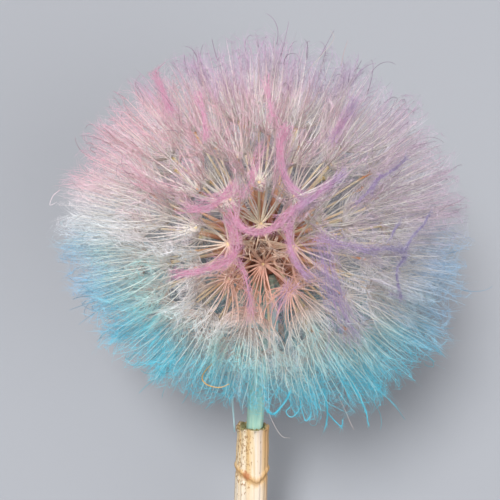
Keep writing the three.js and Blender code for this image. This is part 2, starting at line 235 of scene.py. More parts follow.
def walls(row, above, sides):
    """Triangles between rings: row holds the first point of each, and above that of the ring it joins."""
    k = np.arange(sides)
    nxt = (k + 1) % sides
    return np.concatenate([
        np.stack([row + k, row + nxt, above + nxt], -1).reshape(-1, 3),
        np.stack([row + k, above + nxt, above + k], -1).reshape(-1, 3),
    ])


def closed_rings(rings, sides):
    """Triangles of a skin over rings, closed at two more points: the first ring's middle and the last's."""
    k = np.arange(sides)
    nxt = (k + 1) % sides
    row = sides * np.arange(rings - 1)[:, None]
    middle = rings * sides
    last = middle - sides
    return np.concatenate([
        walls(row, row + sides, sides),
        np.stack([np.full(sides, middle), nxt, k], -1),
        np.stack([np.full(sides, middle + 1), last + k, last + nxt], -1),
    ])


def lathed(profile, around, ripple):
    """Rings round the upright axis from pairs of radius and height, with a ripple round each."""
    radius, z = np.array(profile).T[..., None]
    return np.stack([radius * ripple * np.cos(around), radius * ripple * np.sin(around), z + 0 * around], -1)


class Build:
    """Gathers closed forms as vertices and triangles, in mm in the upright frame."""

    def __init__(self):
        self.points = []
        self.triangles = []
        self.count = 0

    def add(self, points, triangles):
        self.points.append(points.reshape(-1, 3))
        self.triangles.append(triangles.reshape(-1, 3) + self.count)
        self.count += points.size // 3

    def needles(self, root, tip, width):
        """Straight three-sided hairs, each closed at its root."""
        along = unit(tip - root)
        a, b = across_path(along, along)
        reach = (np.broadcast_to(width, len(root)) / sqrt(3))[:, None]
        corners = [root + reach * (cos(t) * a + sin(t) * b) for t in (0, 2 * pi / 3, 4 * pi / 3)]
        points = np.stack(corners + [tip], axis=1)
        faces = np.array([[0, 2, 1], [0, 1, 3], [1, 2, 3], [2, 0, 3]])
        self.add(points, 4 * np.arange(len(root))[:, None, None] + faces)

    def tubes(self, paths, radii, sides, flutes=1.0):
        """Round or fluted tubes along paths (n, m, 3), closed at both ends."""
        n, m, _ = paths.shape
        rings = rings_round(paths, radii, sides, flutes)
        points = np.concatenate([rings.reshape(n, m * sides, 3), paths[:, :1], paths[:, -1:]], axis=1)
        self.add(points, (m * sides + 2) * np.arange(n)[:, None, None] + closed_rings(m, sides))

    def spikes(self, paths, radii):
        """Three-sided hairs along paths (n, m, 3) that end in a point, closed at the root."""
        n, m, _ = paths.shape
        tip = 3 * (m - 1)
        rings = rings_round(paths, radii, 3)[:, :-1]
        points = np.concatenate([rings.reshape(n, tip, 3), paths[:, -1:]], axis=1)
        row = 3 * np.arange(m - 2)[:, None]
        one = np.concatenate([
            walls(row, row + 3, 3),
            [[0, 2, 1], [tip - 3, tip - 2, tip], [tip - 2, tip - 1, tip], [tip - 1, tip - 3, tip]],
        ])
        self.add(points, (tip + 1) * np.arange(n)[:, None, None] + one)

    def skin(self, grid):
        """A closed skin round a grid of rings (rings, sides, 3), each end closed at its middle."""
        rings, sides, _ = grid.shape
        points = np.concatenate([grid.reshape(-1, 3), grid[0].mean(0)[None], grid[-1].mean(0)[None]])
        self.add(points, closed_rings(rings, sides))

    def hoop(self, grid):
        """A closed hoop over a grid of rings (rings, sides, 3), whose last ring joins the first."""
        rings, sides, _ = grid.shape
        row = sides * np.arange(rings)[:, None]
        self.add(grid, walls(row, np.roll(row, -1, axis=0), sides))

    def piece(self, name, material, replaces, smooth=True):
        """The mesh as a piece of the part, in its frame."""
        points = to_row(np.concatenate(self.points)).astype(np.float32)
        triangles = np.concatenate(self.triangles).astype(np.int32)
        mesh = bpy.data.meshes.new(name)
        mesh.vertices.add(len(points))
        mesh.vertices.foreach_set("co", points.ravel())
        mesh.loops.add(triangles.size)
        mesh.loops.foreach_set("vertex_index", triangles.ravel())
        mesh.polygons.add(len(triangles))
        mesh.polygons.foreach_set("loop_start", np.arange(0, triangles.size, 3, dtype=np.int32))
        mesh.polygons.foreach_set("use_smooth", np.full(len(triangles), smooth))
        mesh.update(calc_edges=True)
        if mesh.validate():
            raise RuntimeError(f"the mesh of {name} had faults")
        mesh.materials.append(material)
        obj = bpy.data.objects.new(name, mesh)
        bpy.context.scene.collection.objects.link(obj)
        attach(obj, "root")
        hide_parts(replaces)
        print(name, len(triangles), "triangles")
        return obj


def spline(points, count):
    """Points along a smooth curve through a few points."""
    p = np.asarray(points, float)
    p = np.concatenate([[2 * p[0] - p[1]], p, [2 * p[-1] - p[-2]]])
    t = np.linspace(0, len(p) - 3 - 1e-6, count)
    i = t.astype(int)
    f = (t - i)[:, None]
    a, b, c, d = p[i], p[i + 1], p[i + 2], p[i + 3]
    return 0.5 * (2 * b + (c - a) * f + (2 * a - 5 * b + 4 * c - d) * f**2 + (3 * b - a - 3 * c + d) * f**3)


def smoothstep(x, low, high):
    t = np.clip((x - low) / (high - low), 0, 1)
    return t * t * (3 - 2 * t)


# ---- where the fruits stand ----
def fruit_axes():
    """A spiral; those at the front move to their own places, and the others settle evenly between them."""
    i = np.arange(FRUITS)
    z = 1 - (1 - cos(LOWEST_FRUIT)) * (i + 0.5) / FRUITS
    around = pi * (3 - sqrt(5)) * i + 0.09 * (draw(i, 1) - 0.5)
    across = np.sqrt(1 - z * z)
    z = z + 0.07 * (draw(i, 2) - 0.5)
    axes = unit(np.stack([across * np.cos(around), across * np.sin(around), z], 1))
    placed = np.zeros(FRUITS, bool)
    for right, up in np.radians(FRONT_FRUITS):
        place = np.array([sin(right) * cos(up), -cos(right) * cos(up), sin(up)])
        nearest = np.where(placed, -2, axes @ place).argmax()
        axes[nearest] = place
        placed[nearest] = True
    for _ in range(SETTLING_STEPS):
        away = axes[:, None] - axes
        push = (away / ((away**2).sum(-1, keepdims=True) + np.eye(FRUITS)[..., None]) ** 2).sum(1)
        off_stem = axes + np.array([0, 0, 1.0])
        push += STEM_PUSH * off_stem / (off_stem**2).sum(-1, keepdims=True) ** 2
        push *= SETTLING_PUSH * (4 * pi / FRUITS) ** 1.5
        push *= np.minimum(1, 0.1 / np.maximum(np.linalg.norm(push, axis=1, keepdims=True), 1e-9))
        axes[~placed] = unit(axes[~placed] + push[~placed])
    return axes


AXES = fruit_axes()


def outline(dirs):
    """Length of the rays in each direction."""
    low = np.maximum(0, -dirs[..., 2])
    right = smoothstep(dirs[..., 0], -0.3, 0.5)
    return HEAD_RADIUS - HEAD_LOW_LEFT * low * (1 - right) - HEAD_LOW_RIGHT * low**4 * right


HUBS = HUB_RADIUS * outline(AXES) / HEAD_RADIUS * (0.955 + 0.09 * draw(np.arange(FRUITS), 3))


def sideways(axis, around):
    east = unit(np.cross([0, 1, 0], axis))
    north = np.cross(axis, east)
    return np.cos(around)[..., None] * east + np.sin(around)[..., None] * north


def widest_angle(own, side):
    """How far a ray may lean to each side before it is nearer to another fruit, or enters the stem's cone."""
    inside = np.zeros(len(side))
    outside = np.full(len(side), WIDEST_SPREAD)
    for _ in range(14):
        middle = (inside + outside) / 2
        d = np.cos(middle)[:, None] * AXES[own] + np.sin(middle)[:, None] * side
        near = d @ AXES.T
        mine = near[:, own].copy()
        near[:, own] = -2
        free = (near.max(1) < mine) & (-d[:, 2] < cos(STEM_GAP))
        inside = np.where(free, middle, inside)
        outside = np.where(free, outside, middle)
    return inside


# ---- materials ----
def new_material(name):
    """A material, and add_node for its own tree."""
    mat = bpy.data.materials.new(name)
    mat.use_nodes = True
    return mat, partial(add_node, mat.node_tree)


def finished(mat, links):
    """The material, once its shader has these values and links."""
    connect(mat.node_tree, mat.node_tree.nodes["Principled BSDF"], links)
    return mat


def connect(tree, node, links):
    """Gives each named socket of a node a value or another node's output."""
    for key, value in links.items():
        if isinstance(value, bpy.types.NodeSocket):
            tree.links.new(value, node.inputs[key])
        else:
            node.inputs[key].default_value = value


def add_node(tree, kind, links=None, output=0, stops=None, **settings):
    """Adds a node with its settings and links, and returns one of its outputs. stops gives a colour ramp its
    colours."""
    node = tree.nodes.new(kind)
    for key, value in settings.items():
        setattr(node, key, value)
    connect(tree, node, links or {})
    for number, (at, colour) in enumerate(stops or []):
        elements = node.color_ramp.elements
        stop = elements[number] if number < 2 else elements.new(at)
        stop.position = at
        stop.color = colour
    return node.outputs[output]


def upright_place(add):
    """The place in the upright ball's frame, in mm."""
    place = add("ShaderNodeTexCoord", output="Object")
    return add("ShaderNodeMapping", {
        "Vector": place, "Location": tuple(-LAY_DOWN.T @ CENTRE), "Rotation": (pi / 2 - TILT, 0, 0),
        "Scale": (1 / MM, 1 / MM, 1 / MM)})


def dye_pattern(add, dyes, straw=0.0, deeper_by=0.0):
    """The dyes' colour at each place. They were dabbed on from outside, so they are strongest at the rays'
    tips and run along the rays in streaks: cyan on the lowest hair, then mint, little in the middle, pink
    above, lilac grey on the right, mauve at the upper tips, blue at both sides, and none before the
    receptacle. straw is the share of a ray's own colour that shows, and deeper_by the share of light that
    dye-soaked hair loses."""
    place = upright_place(add)
    x = add("ShaderNodeSeparateXYZ", {0: place}, output="X")
    y = add("ShaderNodeSeparateXYZ", {0: place}, output="Y")
    z = add("ShaderNodeSeparateXYZ", {0: place}, output="Z")
    reach = add("ShaderNodeVectorMath", {0: place}, output="Value", operation="LENGTH")
    # a point's direction, out on the ball, so that one patch takes in a whole ray
    outward = add("ShaderNodeVectorMath", {0: place}, operation="NORMALIZE")
    streak = add("ShaderNodeTexNoise", {"Vector": outward, "Scale": HEAD_RADIUS / 3.5, "Detail": 2.0})
    patch = add("ShaderNodeTexNoise", {"Vector": outward, "Scale": HEAD_RADIUS / 20.0, "Detail": 1.0})
    wander = add("ShaderNodeMath", {0: streak, 1: 26.0, 2: -13.0}, operation="MULTIPLY_ADD")
    wander = add("ShaderNodeMath", {0: patch, 1: 34.0, 2: wander}, operation="MULTIPLY_ADD")
    wander = add("ShaderNodeMath", {0: wander, 1: -17.0}, operation="ADD")

    # it is deepest round the ball's outline and thin at the front
    flat = add("ShaderNodeVectorMath", {0: place, 1: (1.0, 0.0, 1.0)}, operation="MULTIPLY")
    off_front = add("ShaderNodeVectorMath", {0: flat, 1: (0.0, 0.0, -1.0)}, output="Value",
                    operation="DISTANCE")
    deeper = add("ShaderNodeMapRange", {"Value": off_front, "From Min": 14.0, "From Max": 52.0,
                                        "To Min": 0.65, "To Max": 1.25})
    up = add("ShaderNodeMath", {0: z, 1: deeper, 2: wander}, operation="MULTIPLY_ADD")
    # on the far left the lower dyes reach higher
    sunk = add("ShaderNodeMapRange", {"Value": x, "From Min": -12.0, "From Max": -38.0, "To Max": 11.0})
    up = add("ShaderNodeMath", {0: up, 1: sunk}, operation="SUBTRACT")
    level = add("ShaderNodeMath", {0: up, 1: 0.01, 2: 0.5}, operation="MULTIPLY_ADD", use_clamp=True)
    dye = add("ShaderNodeValToRGB", {"Fac": level}, stops=[
        (0.0, tuple(dyes.cyan)), (1.0, tuple(dyes.mauve)), (0.24, tuple(dyes.cyan)), (0.38, tuple(dyes.mint)),
        (0.46, tuple(dyes.undyed)), (0.48, tuple(dyes.undyed)), (0.68, tuple(dyes.pink)),
        (0.88, tuple(dyes.pink))])

    # lilac grey on the right, but not on the lowest hair
    right = add("ShaderNodeMath", {0: x, 1: wander}, operation="ADD")
    rightness = add("ShaderNodeMapRange", {"Value": right, "From Min": -4.0, "From Max": 30.0},
                    interpolation_type="SMOOTHSTEP")
    above = add("ShaderNodeMapRange", {"Value": up, "From Min": -34.0, "From Max": 10.0, "To Max": 0.68},
                interpolation_type="SMOOTHSTEP")
    greyness = add("ShaderNodeMath", {0: rightness, 1: above}, operation="MULTIPLY")
    dye = add("ShaderNodeMix", {0: greyness, 6: dye, 7: tuple(dyes.lilac)}, output=2, data_type="RGBA")

    # mauve at the very tips of the upper hair
    tip = add("ShaderNodeMapRange", {"Value": reach, "From Min": 46.0, "From Max": 57.0, "To Max": 0.6})
    upper = add("ShaderNodeMapRange", {"Value": up, "From Min": 2.0, "From Max": 20.0})
    tipness = add("ShaderNodeMath", {0: tip, 1: upper}, operation="MULTIPLY")
    dye = add("ShaderNodeMix", {0: tipness, 6: dye, 7: tuple(dyes.mauve)}, output=2, data_type="RGBA")

    # blue at the left and right edges, a little under the middle
    edge = add("ShaderNodeMath", {0: x}, operation="ABSOLUTE")
    edge = add("ShaderNodeMath", {0: streak, 1: 20.0, 2: edge}, operation="MULTIPLY_ADD")
    edge = add("ShaderNodeMapRange", {"Value": edge, "From Min": 38.0, "From Max": 60.0},
               interpolation_type="SMOOTHSTEP")
    band = add("ShaderNodeMath", {0: z, 1: 11.0}, operation="ADD")
    band = add("ShaderNodeMath", {0: band}, operation="ABSOLUTE")
    band = add("ShaderNodeMapRange", {"Value": band, "From Min": 22.0, "From Max": 6.0},
               interpolation_type="SMOOTHSTEP")
    blueness = add("ShaderNodeMath", {0: edge, 1: band}, operation="MULTIPLY")
    dye = add("ShaderNodeMix", {0: blueness, 6: dye, 7: tuple(dyes.blue)}, output=2, data_type="RGBA")

    # white near the hubs, fully dyed at the tips; some streaks took dye along the whole ray, and the lowest
    # hair soaked it up further in
    depth = add("ShaderNodeMath", {0: streak, 1: 56.0, 2: reach}, operation="MULTIPLY_ADD")
    depth = add("ShaderNodeMath", {0: patch, 1: 12.0, 2: depth}, operation="MULTIPLY_ADD")
    soaked = add("ShaderNodeMapRange", {"Value": up, "From Min": -6.0, "From Max": -26.0, "To Max": 9.0})
    depth = add("ShaderNodeMath", {0: depth, 1: soaked}, operation="ADD")
    taken = add("ShaderNodeMapRange", {"Value": depth, "From Min": 63.0, "From Max": 84.0, "To Max": 0.92},
                interpolation_type="SMOOTHSTEP")
    colour = add("ShaderNodeMix", {0: taken, 6: tuple(dyes.undyed), 7: dye}, output=2, data_type="RGBA")
    if straw:
        # paler from the hub to the middle; the thin tip takes the dye like the hairs
        pale = add("ShaderNodeMapRange", {"Value": reach, "From Min": 54.0, "From Max": 40.0,
                                          "To Min": straw / 4, "To Max": straw})
        colour = add("ShaderNodeMix", {0: pale, 6: colour, 7: linear("#E6DFD0")}, output=2, data_type="RGBA")

    # none of it reached the hubs before the receptacle and little the other hubs, so they kept the peach and
    # ochre of dry hair. The peach, on the lower hubs and before the receptacle and stronger deeper in, is
    # also painted shade: the hair seen in shadow against the brown achenes
    bare = add("ShaderNodeMapRange", {"Value": off_front, "From Min": 18.0, "From Max": 7.0},
               interpolation_type="SMOOTHSTEP")
    deep = add("ShaderNodeMapRange", {"Value": reach, "From Min": 56.0, "From Max": 44.0, "To Min": 0.45,
                                      "To Max": 0.7})
    bare_and_shaded = add("ShaderNodeMath", {0: bare, 1: deep}, operation="MULTIPLY")
    front = add("ShaderNodeMath", {0: y, 1: 0.0}, operation="LESS_THAN")
    bare_and_shaded = add("ShaderNodeMath", {0: bare_and_shaded, 1: front}, operation="MULTIPLY")
    inner = add("ShaderNodeMapRange", {"Value": reach, "From Min": 36.0, "From Max": 26.0, "To Max": 0.5})
    bare_and_shaded = add("ShaderNodeMath", {0: bare_and_shaded, 1: inner}, operation="MAXIMUM")
    low = add("ShaderNodeMapRange", {"Value": z, "From Min": 10.0, "From Max": -1.0})
    dry = add("ShaderNodeMix", {0: low, 6: tuple(dyes.ochre), 7: tuple(dyes.peach)}, output=2,
              data_type="RGBA")
    colour = add("ShaderNodeMix", {0: bare_and_shaded, 6: colour, 7: dry}, output=2, data_type="RGBA")

    # some rays and their hairs are lighter than others
    fleck = add("ShaderNodeTexNoise", {"Vector": outward, "Scale": HEAD_RADIUS / 1.1, "Detail": 1.0})
    light = add("ShaderNodeMath", {0: fleck, 1: 0.5, 2: 0.75}, operation="MULTIPLY_ADD")
    light = add("ShaderNodeMath", {0: light, 1: 1 - deeper_by}, operation="MULTIPLY")
    light = add("ShaderNodeCombineColor", {0: light, 1: light, 2: light})
    return add("ShaderNodeMix", {0: 1.0, 6: colour, 7: light}, output=2, data_type="RGBA",
               blend_type="MULTIPLY")


def dyed_hair(name, dyes, deeper_by=0.0):
    """Pappus hair: cellulose with no lustre, so it looks soft and chalky. The dye took unevenly."""
    mat, add = new_material(name)
    colour = dye_pattern(add, dyes, deeper_by=deeper_by)
    return finished(mat, {"Base Color": colour, "Roughness": 0.75, "Specular IOR Level": 0.25,
                          "Sheen Weight": 0.2, "Sheen Roughness": 0.5})


def stiff_ray(dyes):
    """A ray's wall: like straw and denser than its hairs, so it took less dye and shows as a pale line."""
    mat, add = new_material("straw_pale_ray")
    colour = dye_pattern(add, dyes, straw=0.6)
    return finished(mat, {"Base Color": colour, "Roughness": 0.5, "Specular IOR Level": 0.35})


def felted_hair(dyes):
    """Hair matted with dye: the colour gathered in it, pink on the left, lilac above and purple on the right,
    and single strands stayed paler. It looks soft, like felt."""
    mat, add = new_material("dye_matted_hair")
    place = upright_place(add)
    x = add("ShaderNodeSeparateXYZ", {0: place}, output="X")
    z = add("ShaderNodeSeparateXYZ", {0: place}, output="Z")
    patch = add("ShaderNodeTexNoise", {"Vector": place, "Scale": 1 / 6.0, "Detail": 2.0})
    wander = add("ShaderNodeMath", {0: patch, 1: 16.0, 2: -8.0}, operation="MULTIPLY_ADD")
    lift = add("ShaderNodeMath", {0: z, 1: -0.25, 2: wander}, operation="MULTIPLY_ADD")
    along = add("ShaderNodeMath", {0: x, 1: lift}, operation="ADD")
    level = add("ShaderNodeMath", {0: along, 1: 1 / 40.0, 2: 0.25}, operation="MULTIPLY_ADD", use_clamp=True)
    colour = add("ShaderNodeValToRGB", {"Fac": level}, stops=[
        (0.2, tuple(dyes.felt_pink)), (0.95, tuple(dyes.felt_purple)), (0.55, tuple(dyes.felt_lilac))])
    strand = add("ShaderNodeTexNoise", {"Vector": place, "Scale": 1 / 0.5, "Detail": 1.0})
    paler = add("ShaderNodeMapRange", {"Value": strand, "From Min": 0.45, "From Max": 0.8, "To Max": 0.45})
    colour = add("ShaderNodeMix", {0: paler, 6: colour, 7: tuple(dyes.undyed)}, output=2, data_type="RGBA")
    return finished(mat, {"Base Color": colour, "Roughness": 0.8, "Specular IOR Level": 0.2,
                          "Sheen Weight": 0.3})


def seed_coat(name="dry_achene_and_beak", over=None):
    """Dry achenes and beaks: a hard matte seed coat, red-brown at the root, peach along the beak and cream
    towards the hub, with some hubs orange or yellow. over is a colour that nearly covers these."""
    mat, add = new_material(name)
    place = upright_place(add)
    reach = add("ShaderNodeVectorMath", {0: place}, output="Value", operation="LENGTH")
    patch = add("ShaderNodeTexNoise", {"Vector": place, "Scale": 1 / 3.0, "Detail": 2.0})
    along = add("ShaderNodeMath", {0: patch, 1: 4.0, 2: reach}, operation="MULTIPLY_ADD")
    along = add("ShaderNodeMath", {0: along, 1: 1 / 40.0}, operation="MULTIPLY", use_clamp=True)
    colour = add("ShaderNodeValToRGB", {"Fac": along}, stops=[
        (0.12, linear("#7E4A38")), (1.0, linear("#EFE2C6")), (0.3, linear("#A9674C")),
        (0.42, linear("#D6A482")), (0.56, linear("#EAD2B0")), (0.8, linear("#F0E3C8"))])
    outward = add("ShaderNodeVectorMath", {0: place}, operation="NORMALIZE")
    kind = add("ShaderNodeTexNoise", {"Vector": outward, "Scale": 5.0, "Detail": 0.0})
    hub = add("ShaderNodeMapRange", {"Value": reach, "From Min": 29.0, "From Max": 31.5})
    kind_of_hub = add("ShaderNodeValToRGB", {"Fac": kind}, stops=[
        (0.4, linear("#E8D29C")), (0.62, linear("#DA9662")), (0.5, linear("#E2C28E"))])
    colour = add("ShaderNodeMix", {0: hub, 6: colour, 7: kind_of_hub}, output=2, data_type="RGBA")
    if over:
        colour = add("ShaderNodeMix", {0: 0.8, 6: colour, 7: linear(over)}, output=2, data_type="RGBA")
    ribs = add("ShaderNodeTexNoise", {"Vector": place, "Scale": 1 / 0.4, "Detail": 3.0})
    bump = add("ShaderNodeBump", {"Height": ribs, "Strength": 0.5, "Distance": 0.1 * MM})
    return finished(mat, {"Base Color": colour, "Normal": bump, "Roughness": 0.6,
                          "Specular IOR Level": 0.35})


def dyed_stem():
    """A soft stem dried and dyed: smooth skin with pale lines along it, satin where light catches a ridge."""
    mat, add = new_material("dried_dyed_stem")
    place = upright_place(add)
    z = add("ShaderNodeSeparateXYZ", {0: place}, output="Z")
    streaks = add("ShaderNodeMapping", {"Vector": place, "Scale": (1, 1, 0.05)})
    line = add("ShaderNodeTexNoise", {"Vector": streaks, "Scale": 1 / 0.7, "Detail": 3.0, "Roughness": 0.6})
    colour = add("ShaderNodeValToRGB", {"Fac": line}, stops=[
        (0.3, linear("#7DB0A2")), (0.72, linear("#C9D8AC")), (0.5, linear("#A4CABA"))])
    blue = add("ShaderNodeMapRange", {"Value": z, "From Min": -46.0, "From Max": -34.0, "To Max": 0.4})
    colour = add("ShaderNodeMix", {0: blue, 6: colour, 7: linear("#86C4CC")}, output=2, data_type="RGBA")
    bump = add("ShaderNodeBump", {"Height": line, "Strength": 0.4, "Distance": 0.1 * MM})
    return finished(mat, {"Base Color": colour, "Normal": bump, "Roughness": 0.5})


def dried_bract():
    """A thin dry leaf that soaked up the blue dye: papery, with veins along it, still olive at its root."""
    mat, add = new_material("dried_dyed_bract")
    place = upright_place(add)
    z = add("ShaderNodeSeparateXYZ", {0: place}, output="Z")
    streaks = add("ShaderNodeMapping", {"Vector": place, "Scale": (1, 1, 0.08)})
    vein = add("ShaderNodeTexNoise", {"Vector": streaks, "Scale": 1 / 0.5, "Detail": 3.0, "Roughness": 0.6})
    colour = add("ShaderNodeValToRGB", {"Fac": vein}, stops=[
        (0.3, linear("#84AEB6")), (0.75, linear("#D3DFDB")), (0.55, linear("#AECBCF"))])
    olive = add("ShaderNodeMapRange", {"Value": z, "From Min": -20.0, "From Max": -9.0, "To Max": 0.6})
    colour = add("ShaderNodeMix", {0: olive, 6: colour, 7: linear("#A9A77E")}, output=2, data_type="RGBA")
    bump = add("ShaderNodeBump", {"Height": vein, "Strength": 0.5, "Distance": 0.15 * MM})
    return finished(mat, {"Base Color": colour, "Normal": bump, "Roughness": 0.7})


def dried_reed():
    """Dried reed: woody ribs bleached to cream and tan with brown specks, a brown leaf scar and dull olive
    pith, matte but for a faint sheen on the ribs."""
    mat, add = new_material("dried_bleached_reed")
    place = upright_place(add)
    x = add("ShaderNodeSeparateXYZ", {0: place}, output="X")
    y = add("ShaderNodeSeparateXYZ", {0: place}, output="Y")
    z = add("ShaderNodeSeparateXYZ", {0: place}, output="Z")
    right = add("ShaderNodeMath", {0: x, 1: STALK_LEFT}, operation="SUBTRACT")
    under_top = add("ShaderNodeMath", {0: z, 1: STALK_TOP}, operation="SUBTRACT")

    # bands of pale and tan wood along the ribs, about 1.5 mm wide, with finer grain in them
    bands = add("ShaderNodeMapping", {"Vector": place, "Scale": (1, 1, 0.025)})
    band = add("ShaderNodeTexNoise", {"Vector": bands, "Scale": 1 / 1.8, "Detail": 1.5, "Roughness": 0.6})
    grains = add("ShaderNodeMapping", {"Vector": place, "Scale": (1, 1, 0.05)})
    grain = add("ShaderNodeTexNoise", {"Vector": grains, "Scale": 1 / 0.5, "Detail": 3.0, "Roughness": 0.6})
    wood = add("ShaderNodeMath", {0: grain, 1: 0.3, 2: band}, operation="MULTIPLY_ADD")
    colour = add("ShaderNodeValToRGB", {"Fac": wood}, stops=[
        (0.46, linear("#A27B4F")), (0.86, linear("#DACDBB")), (0.56, linear("#BA9664")),
        (0.65, linear("#C9AC7F")), (0.75, linear("#D1BD9C"))])
    # a pale stripe right of the middle, which is a painted highlight where the front light catches the stalk,
    # and bleached wood under the scar
    highlight_stripe = add("ShaderNodeMath", {0: band, 1: 2.0, 2: right}, operation="MULTIPLY_ADD")
    highlight_stripe = add("ShaderNodeMath", {0: highlight_stripe, 1: -2.6}, operation="ADD")
    highlight_stripe = add("ShaderNodeMath", {0: highlight_stripe}, operation="ABSOLUTE")
    highlight_stripe = add("ShaderNodeMapRange", {"Value": highlight_stripe, "From Min": 1.1, "From Max": 0.3, "To Max": 0.6})
    colour = add("ShaderNodeMix", {0: highlight_stripe, 6: colour, 7: linear("#DBD0C6")}, output=2, data_type="RGBA")
    below = add("ShaderNodeMapRange", {"Value": under_top, "From Min": -14.0, "From Max": -17.0,
                                       "To Max": 0.45})
    colour = add("ShaderNodeMix", {0: below, 6: colour, 7: linear("#D8CCBC")}, output=2, data_type="RGBA")
    # the right side is redder, the reed's own tone, and darker towards its edge, which is painted shade
    ruddy_and_shaded = add("ShaderNodeMapRange", {"Value": right, "From Min": 1.9, "From Max": 3.6, "To Max": 0.5})
    colour = add("ShaderNodeMix", {0: ruddy_and_shaded, 6: colour, 7: linear("#B88E66")}, output=2, data_type="RGBA")

    # brown specks, thickest on the left between the rim and the scar
    short = add("ShaderNodeMapping", {"Vector": place, "Scale": (1, 1, 0.6)})
    speck = add("ShaderNodeTexNoise", {"Vector": short, "Scale": 1 / 0.45, "Detail": 1.0})
    left = add("ShaderNodeMapRange", {"Value": right, "From Min": 0.4, "From Max": -1.2, "To Min": 0.7,
                                      "To Max": 0.54})
    near_scar = add("ShaderNodeMapRange", {"Value": under_top, "From Min": -16.0, "From Max": -14.0,
                                           "To Min": 0.08, "To Max": 0.0})
    limit = add("ShaderNodeMath", {0: left, 1: near_scar}, operation="ADD")
    over = add("ShaderNodeMath", {0: speck, 1: limit}, operation="SUBTRACT")
    specks = add("ShaderNodeMapRange", {"Value": over, "From Min": 0.0, "From Max": 0.05, "To Max": 0.75})
    colour = add("ShaderNodeMix", {0: specks, 6: colour, 7: linear("#8E663C")}, output=2, data_type="RGBA")

    # the leaf scar: a brown band that falls to the right and turns up again there, as stalk_girth() has it,
    # with a rust-brown spot at the front
    past = add("ShaderNodeMath", {0: right, 1: SCAR_TURN}, operation="SUBTRACT")
    turned = add("ShaderNodeMath", {0: past, 1: past, 2: 0.3}, operation="MULTIPLY_ADD")
    turned = add("ShaderNodeMath", {0: turned}, operation="SQRT")
    turned = add("ShaderNodeMath", {0: past, 1: turned}, operation="ADD")
    slant = add("ShaderNodeMath", {0: right, 1: NODE_SLANT, 2: under_top}, operation="MULTIPLY_ADD")
    slant = add("ShaderNodeMath", {0: turned, 1: -SCAR_RISE / 2, 2: slant}, operation="MULTIPLY_ADD")
    rough = add("ShaderNodeTexNoise", {"Vector": place, "Scale": 1 / 1.2, "Detail": 3.0})
    slant = add("ShaderNodeMath", {0: rough, 1: 1.8, 2: slant}, operation="MULTIPLY_ADD")
    slant = add("ShaderNodeMath", {0: slant, 1: NODE_DEPTH - 0.4}, operation="ADD")
    band = add("ShaderNodeMath", {0: slant}, operation="ABSOLUTE")
    scar = add("ShaderNodeMapRange", {"Value": band, "From Min": 1.9, "From Max": 0.5, "To Max": 0.75})
    colour = add("ShaderNodeMix", {0: scar, 6: colour, 7: linear("#C49A62")}, output=2, data_type="RGBA")
    line = add("ShaderNodeMapRange", {"Value": band, "From Min": 0.35, "From Max": 0.1, "To Max": 0.55})
    colour = add("ShaderNodeMix", {0: line, 6: colour, 7: linear("#946A3A")}, output=2, data_type="RGBA")
    spot_centre = (STALK_LEFT - 1.6, -4.2, STALK_TOP - NODE_DEPTH + 1.1)
    spot = add("ShaderNodeVectorMath", {0: place, 1: spot_centre}, output="Value", operation="DISTANCE")
    spot = add("ShaderNodeMath", {0: rough, 1: 2.2, 2: spot}, operation="MULTIPLY_ADD")
    spot = add("ShaderNodeMapRange", {"Value": spot, "From Min": 2.5, "From Max": 1.7, "To Max": 0.9})
    colour = add("ShaderNodeMix", {0: spot, 6: colour, 7: linear("#A8693E")}, output=2, data_type="RGBA")

    # sunken pith inside the sawn wall
    across = add("ShaderNodeCombineXYZ", {0: right, 1: y})
    off_axis = add("ShaderNodeVectorMath", {0: across}, output="Value", operation="LENGTH")
    inside = add("ShaderNodeMapRange", {"Value": off_axis, "From Min": 3.6, "From Max": 3.3})
    high = add("ShaderNodeMapRange", {"Value": under_top, "From Min": -9.0, "From Max": -8.5})
    inside = add("ShaderNodeMath", {0: inside, 1: high}, operation="MULTIPLY")
    crumb = add("ShaderNodeTexNoise", {"Vector": place, "Scale": 1 / 0.7, "Detail": 3.0})
    pith = add("ShaderNodeValToRGB", {"Fac": crumb}, stops=[
        (0.35, linear("#746A3C")), (0.65, linear("#B9AF80"))])
    colour = add("ShaderNodeMix", {0: inside, 6: colour, 7: pith}, output=2, data_type="RGBA")

    bump = add("ShaderNodeBump", {"Height": grain, "Strength": 0.5, "Distance": 0.12 * MM})
    return finished(mat, {"Base Color": colour, "Normal": bump, "Roughness": 0.62})


# ---- fruits ----
ROOT_REACH = KNOB_RADIUS - 1.6     # where the achenes are rooted, inside the receptacle


def beak_paths(steps):
    """Paths of all the fruits from their roots to their hubs, a little bowed."""
    t = np.linspace(0, 1, steps)
    rng = lots(1)
    reach = ROOT_REACH + (HUBS[:, None] - ROOT_REACH) * t
    bow = unit(np.cross(AXES, rng.normal(size=(FRUITS, 3)))) * rng.uniform(0.2, 0.8, FRUITS)[:, None]
    return AXES[:, None] * reach[..., None] + bow[:, None] * np.sin(pi * t)[None, :, None]


